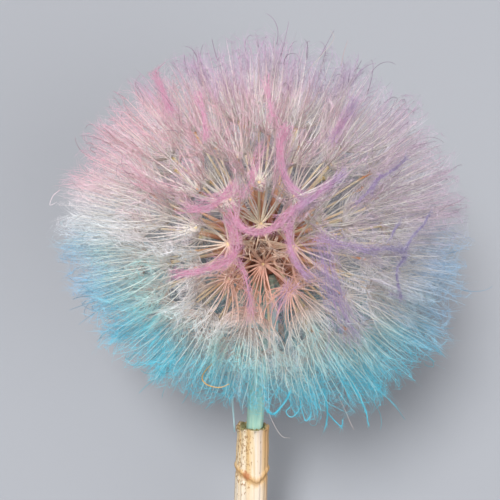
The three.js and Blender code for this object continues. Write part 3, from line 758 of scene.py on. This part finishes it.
class CLOCK_OT_fruits(bpy.types.Operator):
    """Makes the achenes, beaks and hubs, and the receptacle that they stand on"""
    bl_idname = "clock.fruits"
    bl_label = "Fruits"

    def execute(self, context):
        build = Build()
        steps = 15
        reach = np.linspace(ROOT_REACH, HUB_RADIUS, steps)
        girth = np.interp(reach, [3.4, 5.2, 7.0, 10.5, 14.5, 17, 28, 31, 32.5],
                          [0.3, 0.5, 0.72, 0.76, 0.5, 0.32, 0.26, 0.3, 0.42])
        flutes = 1 + 0.1 * np.cos(pi * np.arange(8))
        build.tubes(beak_paths(steps), girth, sides=8, flutes=flutes)
        # hubs: a low button with a rolled edge
        spread = np.array([0.3, 0.55, 0.72, 0.66, 0.3])[:, None, None]
        rise = np.array([-0.5, -0.22, 0.0, 0.16, 0.26])
        around = 2 * pi * np.arange(12) / 12
        for axis, hub in zip(AXES, HUBS):
            build.skin(axis * (hub + rise)[:, None, None] + spread * sideways(axis, around))
        profile = [(0.3, KNOB_FOOT), (3.1, KNOB_FOOT), (3.35, -6.8), (3.6, -5.2), (4.3, -3.2), (4.75, -1.4),
                   (5.0, 0.6), (4.7, 2.2), (4.1, 3.4), (3.1, 4.4), (1.9, 5.0), (0.5, 5.25)]
        around = 2 * pi * np.arange(40) / 40
        build.skin(lathed(profile, around, 1 + 0.015 * np.cos(9 * around)))
        build.piece("achenes_and_beaks", seed_coat(), "seed_head")
        return {"FINISHED"}


# ---- parachutes ----
RAY_STEPS = 10
RAY_SPACING = 1.4                  # a power that sets a ray's points closer together towards its hub
CUP = 2.3                          # how soon the rays reach the parachute's full width: a goblet, not a cone
LONGEST_SIDE_HAIR = 6.5
CURLED_RADIUS = 0.1
RAYS_OVER_TABLE = 0.3              # the table presses the hair flat at these heights
SIDE_HAIRS_OVER_TABLE = 0.12
CURLED_ENDS_OVER_TABLE = 0.2
# Where the ball was handled, before the receptacle, the rays are bent and the net is torn and thin: 1 there,
# 0 further round.
TORN = smoothstep(AXES @ EYE_BACK, 0.84, 0.97)


def ray_paths(own, count, rng):
    """One parachute's rays (count, RAY_STEPS, 3), in order round its goblet."""
    axis = AXES[own]
    around = 2 * pi * (np.arange(count) + rng.uniform(-0.25, 0.25, count)) / count + 2 * pi * draw(own, 4)
    side = sideways(axis, around)
    inner = np.arange(count) % 7 == 6
    leaned_in = rng.uniform(0.6, 0.8, count)
    leaned_out = rng.normal(0.87 + 0.2 * TORN[own], 0.05 + 0.1 * TORN[own], count)
    angle = np.where(inner, leaned_in, leaned_out) * widest_angle(own, side)
    tip_dir = np.cos(angle)[:, None] * axis + np.sin(angle)[:, None] * side
    root = axis * HUBS[own] + 0.35 * side
    run = tip_dir * (outline(tip_dir) * rng.uniform(0.89, 1.0, count))[:, None] - root
    rise = (run @ axis)[:, None, None] * axis
    out = run[:, None] - rise
    s = np.linspace(0, 1, RAY_STEPS)[None, :, None] ** RAY_SPACING
    cup = CUP + rng.normal(0, 0.15, count)[:, None, None]
    path = root[:, None] + rise * s**1.25 + out * (1 - (1 - s) ** cup)
    path += rng.normal(0, 0.25 + 0.6 * TORN[own], (count, 1, 3)) * np.sin(pi * s)
    path += rng.normal(0, 0.5, (count, 1, 3)) * s**2
    path += rng.normal(0, 0.6, (count, 1, 3)) * np.maximum(0, s - 0.8) ** 2 * 25
    return kept_above(path, RAYS_OVER_TABLE)


def along_rays(path, ray, s):
    """The point at that share s of each named ray; past 1 it goes straight on."""
    at = s ** (1 / RAY_SPACING) * (RAY_STEPS - 1)
    i = np.minimum(at.astype(int), RAY_STEPS - 2)
    f = (at - i)[..., None]
    return path[ray, i] * (1 - f) + path[ray, i + 1] * f


def side_hairs(build, path, torn, dims, rng):
    """Fine hairs from each ray to the next on both sides. They cross in the goblet's wall as a net, which is
    thin near the hub and ends in a fine fringe."""
    shape = (len(path), dims.hairs)
    where = np.linspace(0, 1, 60)
    dense = np.cumsum(np.interp(where, [0, 0.12, 0.3, 0.85, 1], [0.45, 0.85, 1, 0.9, 0.4]))
    s = np.interp(rng.uniform(0, dense[-1], shape), dense, where)
    ray = np.broadcast_to(np.arange(len(path))[:, None], shape)
    beside = (ray + rng.choice([-1, 1], shape)) % len(path)
    root = along_rays(path, ray, s)
    target = along_rays(path, beside, np.minimum(s + rng.normal(0.13, 0.06, shape).clip(0, 0.3), 1.07))
    run = (target - root) * rng.uniform(0.5, 1.15, shape)[..., None]
    long = np.linalg.norm(run, axis=-1, keepdims=True)
    run *= np.minimum(1, LONGEST_SIDE_HAIR / long)
    tip = root + run + rng.normal(0, 0.12, shape + (3,)) * long
    kept = rng.uniform(size=shape) > torn * np.interp(s, [0.1, 0.4, 0.9], [0.95, 0.7, 0.93])
    build.needles(root[kept], kept_above(tip[kept], SIDE_HAIRS_OVER_TABLE), dims.hair_width / MM)


class CLOCK_OT_pappus(bpy.types.Operator):
    """Makes the parachutes: rays with side hairs that cross into a net, in bands down the ball, and long
    curled ends on some rays"""
    bl_idname = "clock.pappus"
    bl_label = "Parachutes"

    def execute(self, context):
        dims = context.scene.clock_pappus
        dyes = context.scene.clock_dyes
        hair = dyed_hair("dyed_pappus_hair", dyes)
        taper = np.interp(np.linspace(0, 1, RAY_STEPS), [0, 0.3, 0.7, 1], [1, 0.75, 0.5, 0.2])
        order = np.argsort(-AXES[:, 2])
        rays = Build()
        ends = []
        for band, members in enumerate(np.array_split(order, 5)):
            net = Build()
            for own in members:
                rng = lots(2, own)
                path = ray_paths(own, dims.rays, rng)
                rays.spikes(path, dims.ray_width / MM / 2 * taper * (1 + 0.3 * TORN[own]))
                side_hairs(net, path, TORN[own], dims, rng)
                ends.append(path[:, -3:])
            net.piece(f"parachute_net_{band + 1}", hair, "seed_head", smooth=False)
        rays.piece("parachute_rays", stiff_ray(dyes), "seed_head")
        self.curled_ends(np.concatenate(ends), dims.wisps, dyes)
        return {"FINISHED"}

    def curled_ends(self, ends, count, dyes):
        """Some rays run on past the net as one long hair that curls over."""
        rng = lots(4)
        chosen = ends[rng.permutation(len(ends))[:count]]
        count = len(chosen)
        root = chosen[:, 1]
        ahead = unit(chosen[:, -1] - chosen[:, 0])
        steps = 12
        t = np.linspace(0, 1, steps)
        across = unit(np.cross(ahead, rng.normal(size=(count, 3))))
        other = np.cross(ahead, across)
        long = rng.uniform(2.5, 6.0, count) + 4.5 * (rng.uniform(size=count) > 0.65)
        curl = rng.choice([0.4, 0.9, 1.8, 3.4], count)[:, None] * rng.uniform(0.7, 1.3, (count, 1))
        heading = curl * t**1.6
        path = root[:, None] + long[:, None, None] * (
            np.cumsum(np.cos(heading), 1)[..., None] * ahead[:, None]
            + np.cumsum(np.sin(heading), 1)[..., None] * across[:, None]) / steps
        path += (0.3 * np.sin(4 * t * curl) * t)[..., None] * other[:, None]
        wisps = Build()
        taper = np.interp(t, [0, 1], [1, 0.5])
        wisps.spikes(kept_above(path, CURLED_ENDS_OVER_TABLE), CURLED_RADIUS * taper)
        wisps.piece("curled_ends", dyed_hair("dyed_loose_hair", dyes, 0.4), "seed_head")


# ---- loose hair: felted ridges, blue and grey strands, and one bent beak ----
def sight_lines(pixels):
    """The front view's eye and the directions in which it sees some of its pixels, in the upright frame."""
    target = view_target(EYE_UP)
    eye = target + EYE_DISTANCE * EYE_BACK
    p = np.asarray(pixels, float)
    plane = target + ((p[:, :1] - MIDDLE_PX) * EYE_ACROSS - (p[:, 1:] - MIDDLE_PX) * EYE_UP) * PX
    return eye, unit(plane - eye)


def on_ball(pixels, reach):
    """Where the sight lines through some pixels first meet the sphere of that radius, in mm."""
    eye, ahead = sight_lines(pixels)
    middle = ahead @ eye
    inside = middle**2 - eye @ eye + np.broadcast_to(reach, len(ahead)) ** 2
    return eye - (middle + np.sqrt(np.maximum(inside, 0)))[:, None] * ahead


def before_middle(pixels, depth):
    """Where the sight lines through some pixels are that many mm short of the ball's middle."""
    eye, ahead = sight_lines(pixels)
    return eye - (ahead @ eye + depth)[:, None] * ahead


def view_target(up):
    """The middle of the front view in the upright frame, where up is the view's own upward direction."""
    right = (MIDDLE_PX - RECEPTACLE_PX[0]) * PX * EYE_ACROSS
    return right + (RECEPTACLE_PX[1] - MIDDLE_PX) * PX * up


# Felted ridges, threads and veils: width in mm, strands to each mm of length, radius of the sphere they lie
# on, and the points of the front view they pass through.
FELTED_RIDGES = {
    "bar": (1.5, 9, 51.0, [
        (232, 209), (236, 222), (246, 230), (258, 232), (270, 229), (280, 222), (290, 213)]),
    "bar_right": (1.3, 8, 52.0, [(284, 218), (294, 210), (304, 203), (322, 190), (335, 182), (345, 172)]),
    "upper_left": (1.6, 6, 51.0, [(183, 206), (194, 209), (206, 209), (216, 204), (226, 195), (236, 186)]),
    "upper_left_veil": (3.0, 7, 50.0, [(196, 200), (212, 200), (226, 194), (238, 186)]),
    "left_side": (2.6, 9, 51.0, [(230, 218), (234, 235), (236, 248), (230, 260), (217, 266)]),
    "left": (1.7, 7, 50.0, [(232, 258), (216, 266), (200, 271), (184, 273), (172, 274)]),
    "top": (1.7, 8, 51.0, [
        (285, 128), (281, 140), (280, 154), (283, 170), (290, 184), (300, 194), (306, 197)]),
    "upper_streak": (1.5, 5, 51.0, [(261, 146), (257, 160), (253, 174), (249, 186), (240, 196)]),
    "down": (1.3, 9, 51.0, [(287, 222), (289, 235), (291, 250), (296, 262), (303, 271), (311, 279)]),
    "low_left": (1.3, 4, 49.0, [(237, 262), (243, 272), (248, 290), (250, 308), (249, 322)]),
    "low_right_veil": (3.0, 5, 49.0, [(292, 284), (286, 294), (280, 306), (275, 320)]),
    "purple_veil": (6.0, 6, 51.0, [(322, 238), (324, 256), (329, 276), (336, 300), (344, 322), (352, 340)]),
    "right": (1.5, 6, 50.5, [(316, 238), (335, 243), (349, 246), (362, 249), (378, 252)]),
    "right_far": (0.9, 5, 50.5, [(368, 251), (385, 248), (398, 250), (407, 251)]),
    "right_knot": (1.5, 5, 50.5, [(394, 244), (400, 250), (404, 256), (402, 263)]),
    "right_fall": (0.6, 5, 51.0, [(407, 255), (402, 262), (397, 270), (398, 284), (401, 298)]),
    "right_foot": (0.9, 4, 51.0, [(390, 294), (397, 296), (406, 298)]),
    "right_rise": (0.5, 3, 51.0, [(388, 244), (391, 238), (393, 232), (397, 226), (401, 221)]),
    "right_hook": (0.5, 3, 51.5, [(405, 250), (412, 238), (419, 230), (425, 223), (428, 216), (432, 211)]),
    "far_right": (0.6, 5, 52.0, [(406, 158), (397, 167), (389, 173), (380, 177), (375, 184), (371, 192)]),
    "far_right_branch": (0.5, 4, 51.0, [(380, 177), (372, 186), (364, 196), (354, 206)]),
    "high_middle": (1.4, 4, 51.0, [(267, 76), (268, 92), (270, 108), (274, 122)]),
    "high_right": (2.0, 7, 51.0, [(356, 98), (349, 112), (341, 126), (332, 140)]),
    "high_left": (1.3, 6, 52.0, [(154, 72), (159, 84), (165, 98), (171, 112)]),
    "high_left_inner": (1.2, 6, 51.0, [(197, 94), (202, 108), (205, 124), (207, 138)]),
}
# A few long strands that hang loose: radius in mm, how many mm they are before the ball's middle, and points
# as above.
STRANDS = {
    "blue_loop": (0.26, 13.0, [(291, 390), (286, 400), (280, 408), (274, 414), (270, 413), (266, 409)]),
    "blue_loop_low": (0.12, 8.0, [(285, 392), (291, 404), (286, 412), (292, 417), (300, 408), (301, 396)]),
    "blue_loop_right": (0.12, 4.0, [(299, 396), (302, 410), (306, 421), (311, 412), (308, 398)]),
    "blue_tuft": (0.2, 2.0, [(324, 392), (327, 406), (327, 420), (325, 428)]),
    "blue_tuft_right": (0.16, 1.0, [(327, 412), (334, 420), (341, 426), (343, 420)]),
    "blue_tuft_far": (0.18, 3.0, [(352, 384), (360, 398), (366, 412), (368, 423)]),
    "left_thread": (0.09, 2.0, [(60, 190), (53, 196), (50, 205), (57, 202)]),
}
GREY_STRANDS = {
    "grey_hair": (0.075, 12.0, [(262, 384), (264, 400), (270, 416), (277, 430), (283, 437), (290, 438)]),
    "pale_hair": (0.08, 6.0, [(338, 396), (345, 410), (350, 422), (354, 430)]),
    "upper_hair": (0.08, 8.0, [(298, 84), (312, 66), (326, 50), (334, 38), (330, 30)]),
    "top_hair": (0.08, 10.0, [(341, 66), (344, 52), (348, 40)]),
}
BENT_BEAK = [(214, 362), (206, 370), (202, 378), (206, 384), (214, 387), (222, 387), (229, 384)]
BENT_BEAK_REACH = [36, 40, 44, 46, 47, 47, 47]
BENT_BEAK_RADIUS = 0.13
FELTED_OVER_RADIUS = 0.15          # strands thicker than this are wrapped in matted hair
MATTED_RADIUS = 0.042
STRAY_WIDTH = 0.05


def points_at(at, lines):
    """The points of several lines (n, 3) at shares of their length."""
    t = np.linspace(0, 1, len(lines[0]))
    return (np.stack([np.interp(at, t, line[:, k]) for k in range(3)], -1) for line in lines)


def felted_ridge(build, width, dense, points, rng):
    """Hairs of neighbouring parachutes run together into a soft band of long strands with stray ends."""
    line = spline(points, 60)
    length = np.linalg.norm(np.diff(line, axis=0), axis=1).sum()
    along = unit(np.gradient(line, axis=0))
    out = unit(line)
    lines = (line, unit(np.cross(along, out)), out, along)

    strands = int(length * dense)
    span = rng.uniform(0.2, 0.5, strands)
    start = rng.uniform(-0.15, 1.15 - span)
    u = np.linspace(0, 1, 7)
    at = start[:, None] + span[:, None] * u
    on = np.clip(at, 0, 1)
    base, a, n, d = points_at(on, lines)
    past = (at - on) * length
    turn = 2 * pi * (u * rng.uniform(0.3, 0.8, (strands, 1)) + rng.uniform(0, 1, (strands, 1)))
    frayed = 1 + 1.5 * np.abs(2 * on - 1) ** 4
    offset = rng.normal(0, 0.27, (strands, 1)) * width * frayed + 0.1 * np.sin(turn)
    offset = offset + rng.normal(0, 0.6, (strands, 1)) * np.abs(past)
    lift = rng.normal(-0.05, 0.12, (strands, 1)) * min(width, 1.6) + 0.1 * np.cos(turn)
    path = base + offset[..., None] * a + lift[..., None] * n + past[..., None] * d
    build.spikes(path, MATTED_RADIUS * np.interp(u, [0, 0.3, 1], [0.6, 1, 0.3]))

    strays = int(length * dense * 2)
    at = rng.uniform(-0.03, 1.03, strays)
    base, a, n, d = points_at(at, lines)
    sign = rng.choice([-1.0, 1.0], (strays, 1))
    root = base + sign * a * width * rng.uniform(0, 0.45, (strays, 1))
    head = unit(d * rng.normal(0, 1, (strays, 1)) + sign * a * rng.uniform(0.1, 0.8, (strays, 1))
                + n * rng.normal(0, 0.3, (strays, 1)))
    build.needles(root, root + head * rng.uniform(1.0, 3.2, (strays, 1)), STRAY_WIDTH)


class CLOCK_OT_loose_hair(bpy.types.Operator):
    """Makes the felted ridges, the strands and grey hairs that hang loose, and one bent beak"""
    bl_idname = "clock.loose_hair"
    bl_label = "Loose hair"

    def execute(self, context):
        dyes = context.scene.clock_dyes
        ridges = Build()
        for number, (width, dense, reach, pixels) in enumerate(FELTED_RIDGES.values()):
            felted_ridge(ridges, width, dense, on_ball(pixels, reach), lots(3, number))
        ridges.piece("felted_ridges", felted_hair(dyes), "seed_head")

        steps = 30
        taper = np.interp(np.linspace(0, 1, steps), [0, 0.8, 1], [1, 0.8, 0.3])
        kinds = (("hanging_strands", STRANDS, dyed_hair("dyed_hanging_strand", dyes)),
                 ("loose_grey_hairs", GREY_STRANDS, seed_coat("dry_loose_hair", "#A8A2AC")))
        for name, group, mat in kinds:
            strands = Build()
            for radius, depth, pixels in group.values():
                points = before_middle(pixels, depth)
                strands.tubes(spline(points, steps)[None], radius * taper, sides=5)
                if radius > FELTED_OVER_RADIUS:
                    felted_ridge(strands, 3 * radius, 6, points, lots(5, pixels[0][0]))
            strands.piece(name, mat, "seed_head")

        bent = Build()
        steps = 40
        path = spline(on_ball(BENT_BEAK, BENT_BEAK_REACH), steps)
        bent.tubes(path[None], BENT_BEAK_RADIUS * np.linspace(1.2, 0.7, steps), sides=6)
        bent.piece("bent_beak", seed_coat("dry_bent_beak", "#DDA954"), "seed_head")
        return {"FINISHED"}


# ---- bracts and stem ----
LONG_BRACT = 5                     # one bract, at the front left, hangs far down beside the stem
LONG_BRACT_LENGTH = 38.5


def stem_axis(z):
    """How far the stem's axis stands to the right at a height."""
    z = np.asarray(z, float)
    hole = STALK_LEFT + STEM_OFFSET
    bow = hole * np.clip((z - KNOB_FOOT) / (STALK_TOP - KNOB_FOOT), 0, 1) ** 1.25
    return np.where(z < STALK_TOP, hole + (z - STALK_TOP) * tan(STALK_LEAN), bow)


def bract(build, index):
    """One narrow leaf, folded along its midrib, with edges that dried unevenly."""
    longest = index == LONG_BRACT
    length = LONG_BRACT_LENGTH if longest else 15 + 9 * draw(index, 11)
    around = radians(-15 + 360 / BRACTS * index + 8 * (draw(index, 12) - 0.5))
    out = np.array([cos(around), sin(around), 0])
    side = np.array([-sin(around), cos(around), 0])
    stations = 26
    spine = spline([
        r * out + np.array([0, 0, z]) for r, z in (
            (2.9, -8.6), (4.4, -10.4), (5.7, -13.6),
            (8.6 if longest else 6.2 + draw(index, 13), -13.6 - length * 0.45),
            (7.9 if longest else 6.4 + 1.2 * draw(index, 14), -10 - length))], stations)
    t = np.linspace(0, 0.995, stations)
    along = unit(np.gradient(spine, axis=0))
    across = np.cross(along, side)
    half = 1.5 * (0.75 + 0.5 * t) * (1 - t**3) + 0.05
    rng = lots(5, index)
    x = np.array([-1, -0.8, -0.45, -0.12, 0, 0.12, 0.45, 0.8, 1, 0.8, 0.45, 0.12, 0, -0.12, -0.45, -0.8])
    face = np.where(np.arange(16) < 9, 1.0, -1.0)
    thick = np.interp(np.abs(x), [0, 0.12, 0.5, 1], [0.34, 0.24, 0.2, 0.02]) * (1 - 0.4 * t)[:, None]
    crimp = 0.10 * np.sin(14 * t + rng.uniform(0, 6))[:, None] * x**2 * np.sign(x)
    fold = 0.22 * np.abs(x) - 0.05 + crimp
    rise = thick * face + fold * half[:, None]
    build.skin(spine[:, None] + (half[:, None] * x)[..., None] * side + rise[..., None] * across[:, None])


class CLOCK_OT_bracts(bpy.types.Operator):
    """Makes the collar under the receptacle and the bracts turned down from it"""
    bl_idname = "clock.bracts"
    bl_label = "Bracts"

    def execute(self, context):
        build = Build()
        for index in range(BRACTS):
            bract(build, index)
        inner = STEM_TOP_RADIUS + SEAT_GAP + 0.05
        top = KNOB_FOOT - SEAT_GAP
        around = 2 * pi * np.arange(48) / 48
        ribs = 1 + 0.03 * np.cos(BRACTS * 2 * around)
        loop = [(inner, top - 3), (3.1, top - 3.05), (3.5, top - 2.4), (3.75, top - 1.6), (3.8, top - 0.8),
                (3.6, top), (inner, top)]
        build.hoop(lathed(loop, around, ribs))
        build.piece("dried_bracts", dried_bract(), "bracts")
        return {"FINISHED"}


class CLOCK_OT_stem(bpy.types.Operator):
    """Makes the soft stem that runs from the receptacle into the stalk"""
    bl_idname = "clock.stem"
    bl_label = "Stem"

    def execute(self, context):
        build = Build()
        rows, sides = 64, 40
        z = np.linspace(STALK_TOP - STEM_DEPTH_IN_STALK, KNOB_FOOT - SEAT_GAP, rows)[:, None]
        t = (z - z[0]) / (z[-1] - z[0])
        around = 2 * pi * np.arange(sides) / sides
        radius = STEM_LOW_RADIUS + (STEM_TOP_RADIUS - STEM_LOW_RADIUS) * t
        ridges = 1 + STEM_RIDGE * np.cos(8 * around) + 0.014 * np.cos(13 * around + 0.05 * z + 1)
        radius = radius * ridges * (1 + 0.012 * np.sin(0.55 * z + 1.4 * np.cos(around)))
        grid = np.stack([radius * np.cos(around) + stem_axis(z), radius * np.sin(around), z + 0 * radius], -1)
        build.skin(grid)
        build.piece("dyed_stem", dyed_stem(), "stem")
        return {"FINISHED"}


# ---- reed stalk ----
SPLINTERS = 70
SPLINTER_WIDTH = 0.14


def stalk_girth(z, around):
    """Radius of the stalk in mm at a height from its top and a direction: ribs, waist, leaf scar and lip."""
    ribs = 0.10 * np.cos(STALK_RIBS * around + 0.02 * z) + 0.05 * np.cos(5 * around + 1.3)
    ribs = ribs + 0.045 * np.cos(31 * around + 0.09 * z + 2) + 0.03 * np.cos(47 * around - 0.12 * z)
    ribs = ribs + 0.04 * np.cos(3 * around + 0.13 * z) + 0.02 * np.sin(0.9 * z + 4 * around)
    waist = -0.16 * np.exp(-(((z + 2.6) / 2.2) ** 2))
    right = STALK_RADIUS * np.cos(around)
    past = right - SCAR_TURN
    scar = z + NODE_DEPTH + NODE_SLANT * right + 0.12 * np.sin(5 * around)
    scar = scar - SCAR_RISE * (past + np.sqrt(past**2 + 0.3)) / 2
    ring = 0.34 * np.exp(-((scar / 0.7) ** 2)) - 0.18 * np.exp(-(((scar + 1.6) / 0.6) ** 2))
    torn = 0.12 * np.exp(-(((scar - 0.55) / 0.18) ** 2))
    lip = 0.4 * np.exp(-(((z + 0.5) / 0.8) ** 2)) * np.exp((-np.cos(around) - 1) / 0.25)
    return STALK_RADIUS + ribs + waist + ring + torn + lip


def rim_height(around):
    """Height of the sawn rim over the stalk's top: ragged, lower at the front than the solid's, with a chip
    at the front left."""
    ragged = 0.22 * np.sin(3 * around + 0.6) + 0.18 * np.sin(7 * around + 2.1) + 0.09 * np.sin(23 * around)
    ragged = ragged - 0.35 * np.exp((-np.sin(around) - 1) / 0.35)
    return ragged + 0.07 * np.sin(41 * around + 1) - 0.9 * np.exp((np.cos(around - CHIP_AT) - 1) / 0.05)


def in_stalk(points):
    """Points from the stalk's own frame, which leans, to the upright ball's."""
    c, s = cos(STALK_LEAN), sin(STALK_LEAN)
    turn = np.array([[c, 0, s], [0, 1, 0], [-s, 0, c]])
    return points @ turn.T + np.array([STALK_LEFT, 0, STALK_TOP])


class CLOCK_OT_stalk(bpy.types.Operator):
    """Makes the dried reed stalk with its pith, leaf scar and scrap of sheath"""
    bl_idname = "clock.stalk"
    bl_label = "Reed stalk"

    def execute(self, context):
        build = Build()
        sides = 112
        around = 2 * pi * np.arange(sides) / sides - pi
        chamfer = [(-STALK_LENGTH, STALK_END_CHAMFER), (0.3 - STALK_LENGTH, 0.05)]
        levels = np.concatenate([np.linspace(0.8 - STALK_LENGTH, -18, 62), np.linspace(-17.6, -8, 34)[:-1],
                                 np.linspace(-8, -0.5, 16)])
        rows = [(z, stalk_girth(z, around) - cut) for z, cut in chamfer]
        rows += [(z, stalk_girth(z, around)) for z in levels]
        grid = [np.stack([r * np.cos(around), r * np.sin(around), np.full(sides, z)], 1) for z, r in rows]
        top = rim_height(around)
        edge = stalk_girth(0.0, around)
        # on over the rim, down the wall's inside, across the sunken pith and into the stem's hole
        pith = 0.12 * np.sin(6 * around) + 0.08 * np.sin(17 * around + 1) + 0.05 * np.sin(31 * around)
        hole = np.full(sides, HOLE_RADIUS)
        inner = edge - WALL
        profile = [
            (edge, top - 0.12, 0), (edge - 0.1, top, 0), (inner + 0.1, top - 0.05, 0), (inner, top - 0.2, 0),
            (inner - 0.12, -PITH_SINK + pith, 0.05), (inner * 0.93, -PITH_SINK + 0.15 - pith, 0.2),
            (hole * 1.08, -PITH_SINK + pith, 0.8), (hole, -PITH_SINK - 0.3, 1),
            (hole, -STEM_DEPTH_IN_STALK - SEAT_GAP, 1)]
        for radius, z, shift in profile:
            grid.append(np.stack([radius * np.cos(around) + shift * STEM_OFFSET, radius * np.sin(around),
                                  z + 0 * radius], 1))
        build.skin(kept_above(in_stalk(np.array(grid)), 0.0))

        self.sheath(build)
        self.splinters(build)
        build.piece("dried_reed_stalk", dried_reed(), "stalk")
        return {"FINISHED"}

    def sheath(self, build):
        """A sliver of dried leaf sheath that lifts off below the scar, on the right."""
        rows = 20
        t = np.linspace(0, 1, rows)
        down = 8.4 * t
        wide = np.interp(t, [0, 0.4, 0.8, 1], [1.2, 1.5, 0.9, 0.12])
        x = np.array([-1, -0.7, -0.35, 0, 0.35, 0.7, 1, 0.7, 0.35, 0, -0.35, -0.7])
        face = np.where(np.arange(12) < 6, -1.0, 1.0) * np.array([0, 1, 1, 1, 1, 1, 0, 1, 1, 1, 1, 1])
        off = STALK_RADIUS - 0.45 + 0.014 * down**2
        angle = wide[:, None] * x / STALK_RADIUS
        radius = off[:, None] + 0.16 * face + 0.05 * np.sin(9 * x + 11 * t[:, None])
        grid = np.stack([radius * np.cos(angle), radius * np.sin(angle),
                         -down[:, None] - NODE_DEPTH - 2.6 + 0.3 * np.sin(5 * x) * t[:, None]], -1)
        build.skin(in_stalk(grid[::-1]))

    def splinters(self, build):
        """Torn fibres at the sawn rim."""
        rng = lots(6)
        around = rng.uniform(-pi, pi, SPLINTERS)
        radius = stalk_girth(0.0, around) - rng.uniform(0.05, WALL, SPLINTERS)
        root = np.stack([radius * np.cos(around), radius * np.sin(around), rim_height(around) - 0.35], 1)
        lean = rng.normal(0, 0.35, (SPLINTERS, 3)) + np.array([0, 0, 1.0])
        tip = root + unit(lean) * rng.uniform(0.5, 1.1, (SPLINTERS, 1))
        build.needles(in_stalk(root), in_stalk(tip), SPLINTER_WIDTH)


# ---- stage ----
FLOOR_REACH = 3.0                  # in m, so that no edge of it shows


class CLOCK_OT_stage(bpy.types.Operator):
    """Makes the plain floor, the soft lights and the camera"""
    bl_idname = "clock.stage"
    bl_label = "Stage"

    def execute(self, context):
        stage = context.scene.clock_stage
        scene = context.scene
        mesh = bpy.data.meshes.new("floor")
        corners = [(FLOOR_REACH * x, FLOOR_REACH * y, 0) for x, y in ((-1, -1), (1, -1), (1, 1), (-1, 1))]
        mesh.from_pydata(corners, [], [(0, 1, 2, 3)])
        # uncoated paper: no shine, so it shows only the clock's soft shadow
        mat, _ = new_material("matte_paper_floor")
        paper = {"Base Color": tuple(stage.floor), "Roughness": 0.9, "Specular IOR Level": 0.2}
        mesh.materials.append(finished(mat, paper))
        floor = bpy.data.objects.new("floor", mesh)
        scene.collection.objects.link(floor)

        world = bpy.data.worlds.new("soft_room")
        world.use_nodes = True
        sky = world.node_tree.nodes["Background"]
        connect(world.node_tree, sky, {"Color": linear("#E9EAF0"), "Strength": 0.38})
        scene.world = world
        scene.view_settings.view_transform = "Standard"

        self.lamp("key_softbox", (-0.2, 0.18, 1), 3.8, radians(24))
        self.lamp("fill_softbox", (0.8, -0.4, 0.9), 1.1, radians(50))

        camera = bpy.data.objects.new("camera", bpy.data.cameras.new("camera"))
        camera.data.lens = stage.lens
        camera.data.sensor_width = SENSOR_WIDTH
        scene.collection.objects.link(camera)
        view = np.array([0, -cos(stage.raised), sin(stage.raised)])
        up = np.array([0, sin(stage.raised), cos(stage.raised)])
        eye = to_row(view_target(up) + EYE_DISTANCE * stage.lens / LENS * view)
        camera.matrix_world = matrix(EYE_ACROSS, LAY_DOWN @ up, LAY_DOWN @ view, eye)
        camera.data.clip_end = 10
        scene.camera = camera
        return {"FINISHED"}

    def lamp(self, name, towards, strength, angle):
        """A wide soft lamp far off in that direction, which lights the whole floor evenly."""
        data = bpy.data.lights.new(name, "SUN")
        data.energy = strength
        data.angle = angle
        lamp = bpy.data.objects.new(name, data)
        bpy.context.scene.collection.objects.link(lamp)
        back = unit(np.array(towards))
        right = unit(np.cross([0, 1, 0], back))
        lamp.matrix_world = matrix(right, np.cross(back, right), back, back)


def matrix(x, y, z, place):
    """The matrix of an object with these axes at this place."""
    return Matrix([[*row, p] for row, p in zip(np.stack([x, y, z], 1), place)] + [[0, 0, 0, 1]])


class CLOCK_PT_panel(bpy.types.Panel):
    bl_label = "Dandelion Clock"
    bl_idname = "CLOCK_PT_panel"
    bl_space_type = "VIEW_3D"
    bl_region_type = "UI"
    bl_category = "Clock"

    def draw(self, context):
        for group in GROUPS:
            data = getattr(context.scene, group)
            for name in type(data).__annotations__:
                self.layout.prop(data, name)
        for operator in OPERATORS:
            self.layout.operator(operator.bl_idname)


GROUPS = {"clock_pappus": ClockPappus, "clock_dyes": ClockDyes, "clock_stage": ClockStage}
OPERATORS = [CLOCK_OT_stage, CLOCK_OT_fruits, CLOCK_OT_pappus, CLOCK_OT_loose_hair, CLOCK_OT_bracts,
             CLOCK_OT_stem, CLOCK_OT_stalk]


def register():
    for cls in [*GROUPS.values(), *OPERATORS, CLOCK_PT_panel]:
        bpy.utils.register_class(cls)
    for name, cls in GROUPS.items():
        setattr(bpy.types.Scene, name, PointerProperty(type=cls))


def unregister():
    for name in GROUPS:
        delattr(bpy.types.Scene, name)
    for cls in [CLOCK_PT_panel, *reversed(OPERATORS), *reversed(GROUPS.values())]:
        bpy.utils.unregister_class(cls)


def main():
    register()
    for operator in OPERATORS:
        getattr(bpy.ops.clock, operator.bl_idname.split(".")[1])()


if __name__ == "__main__":
    main()
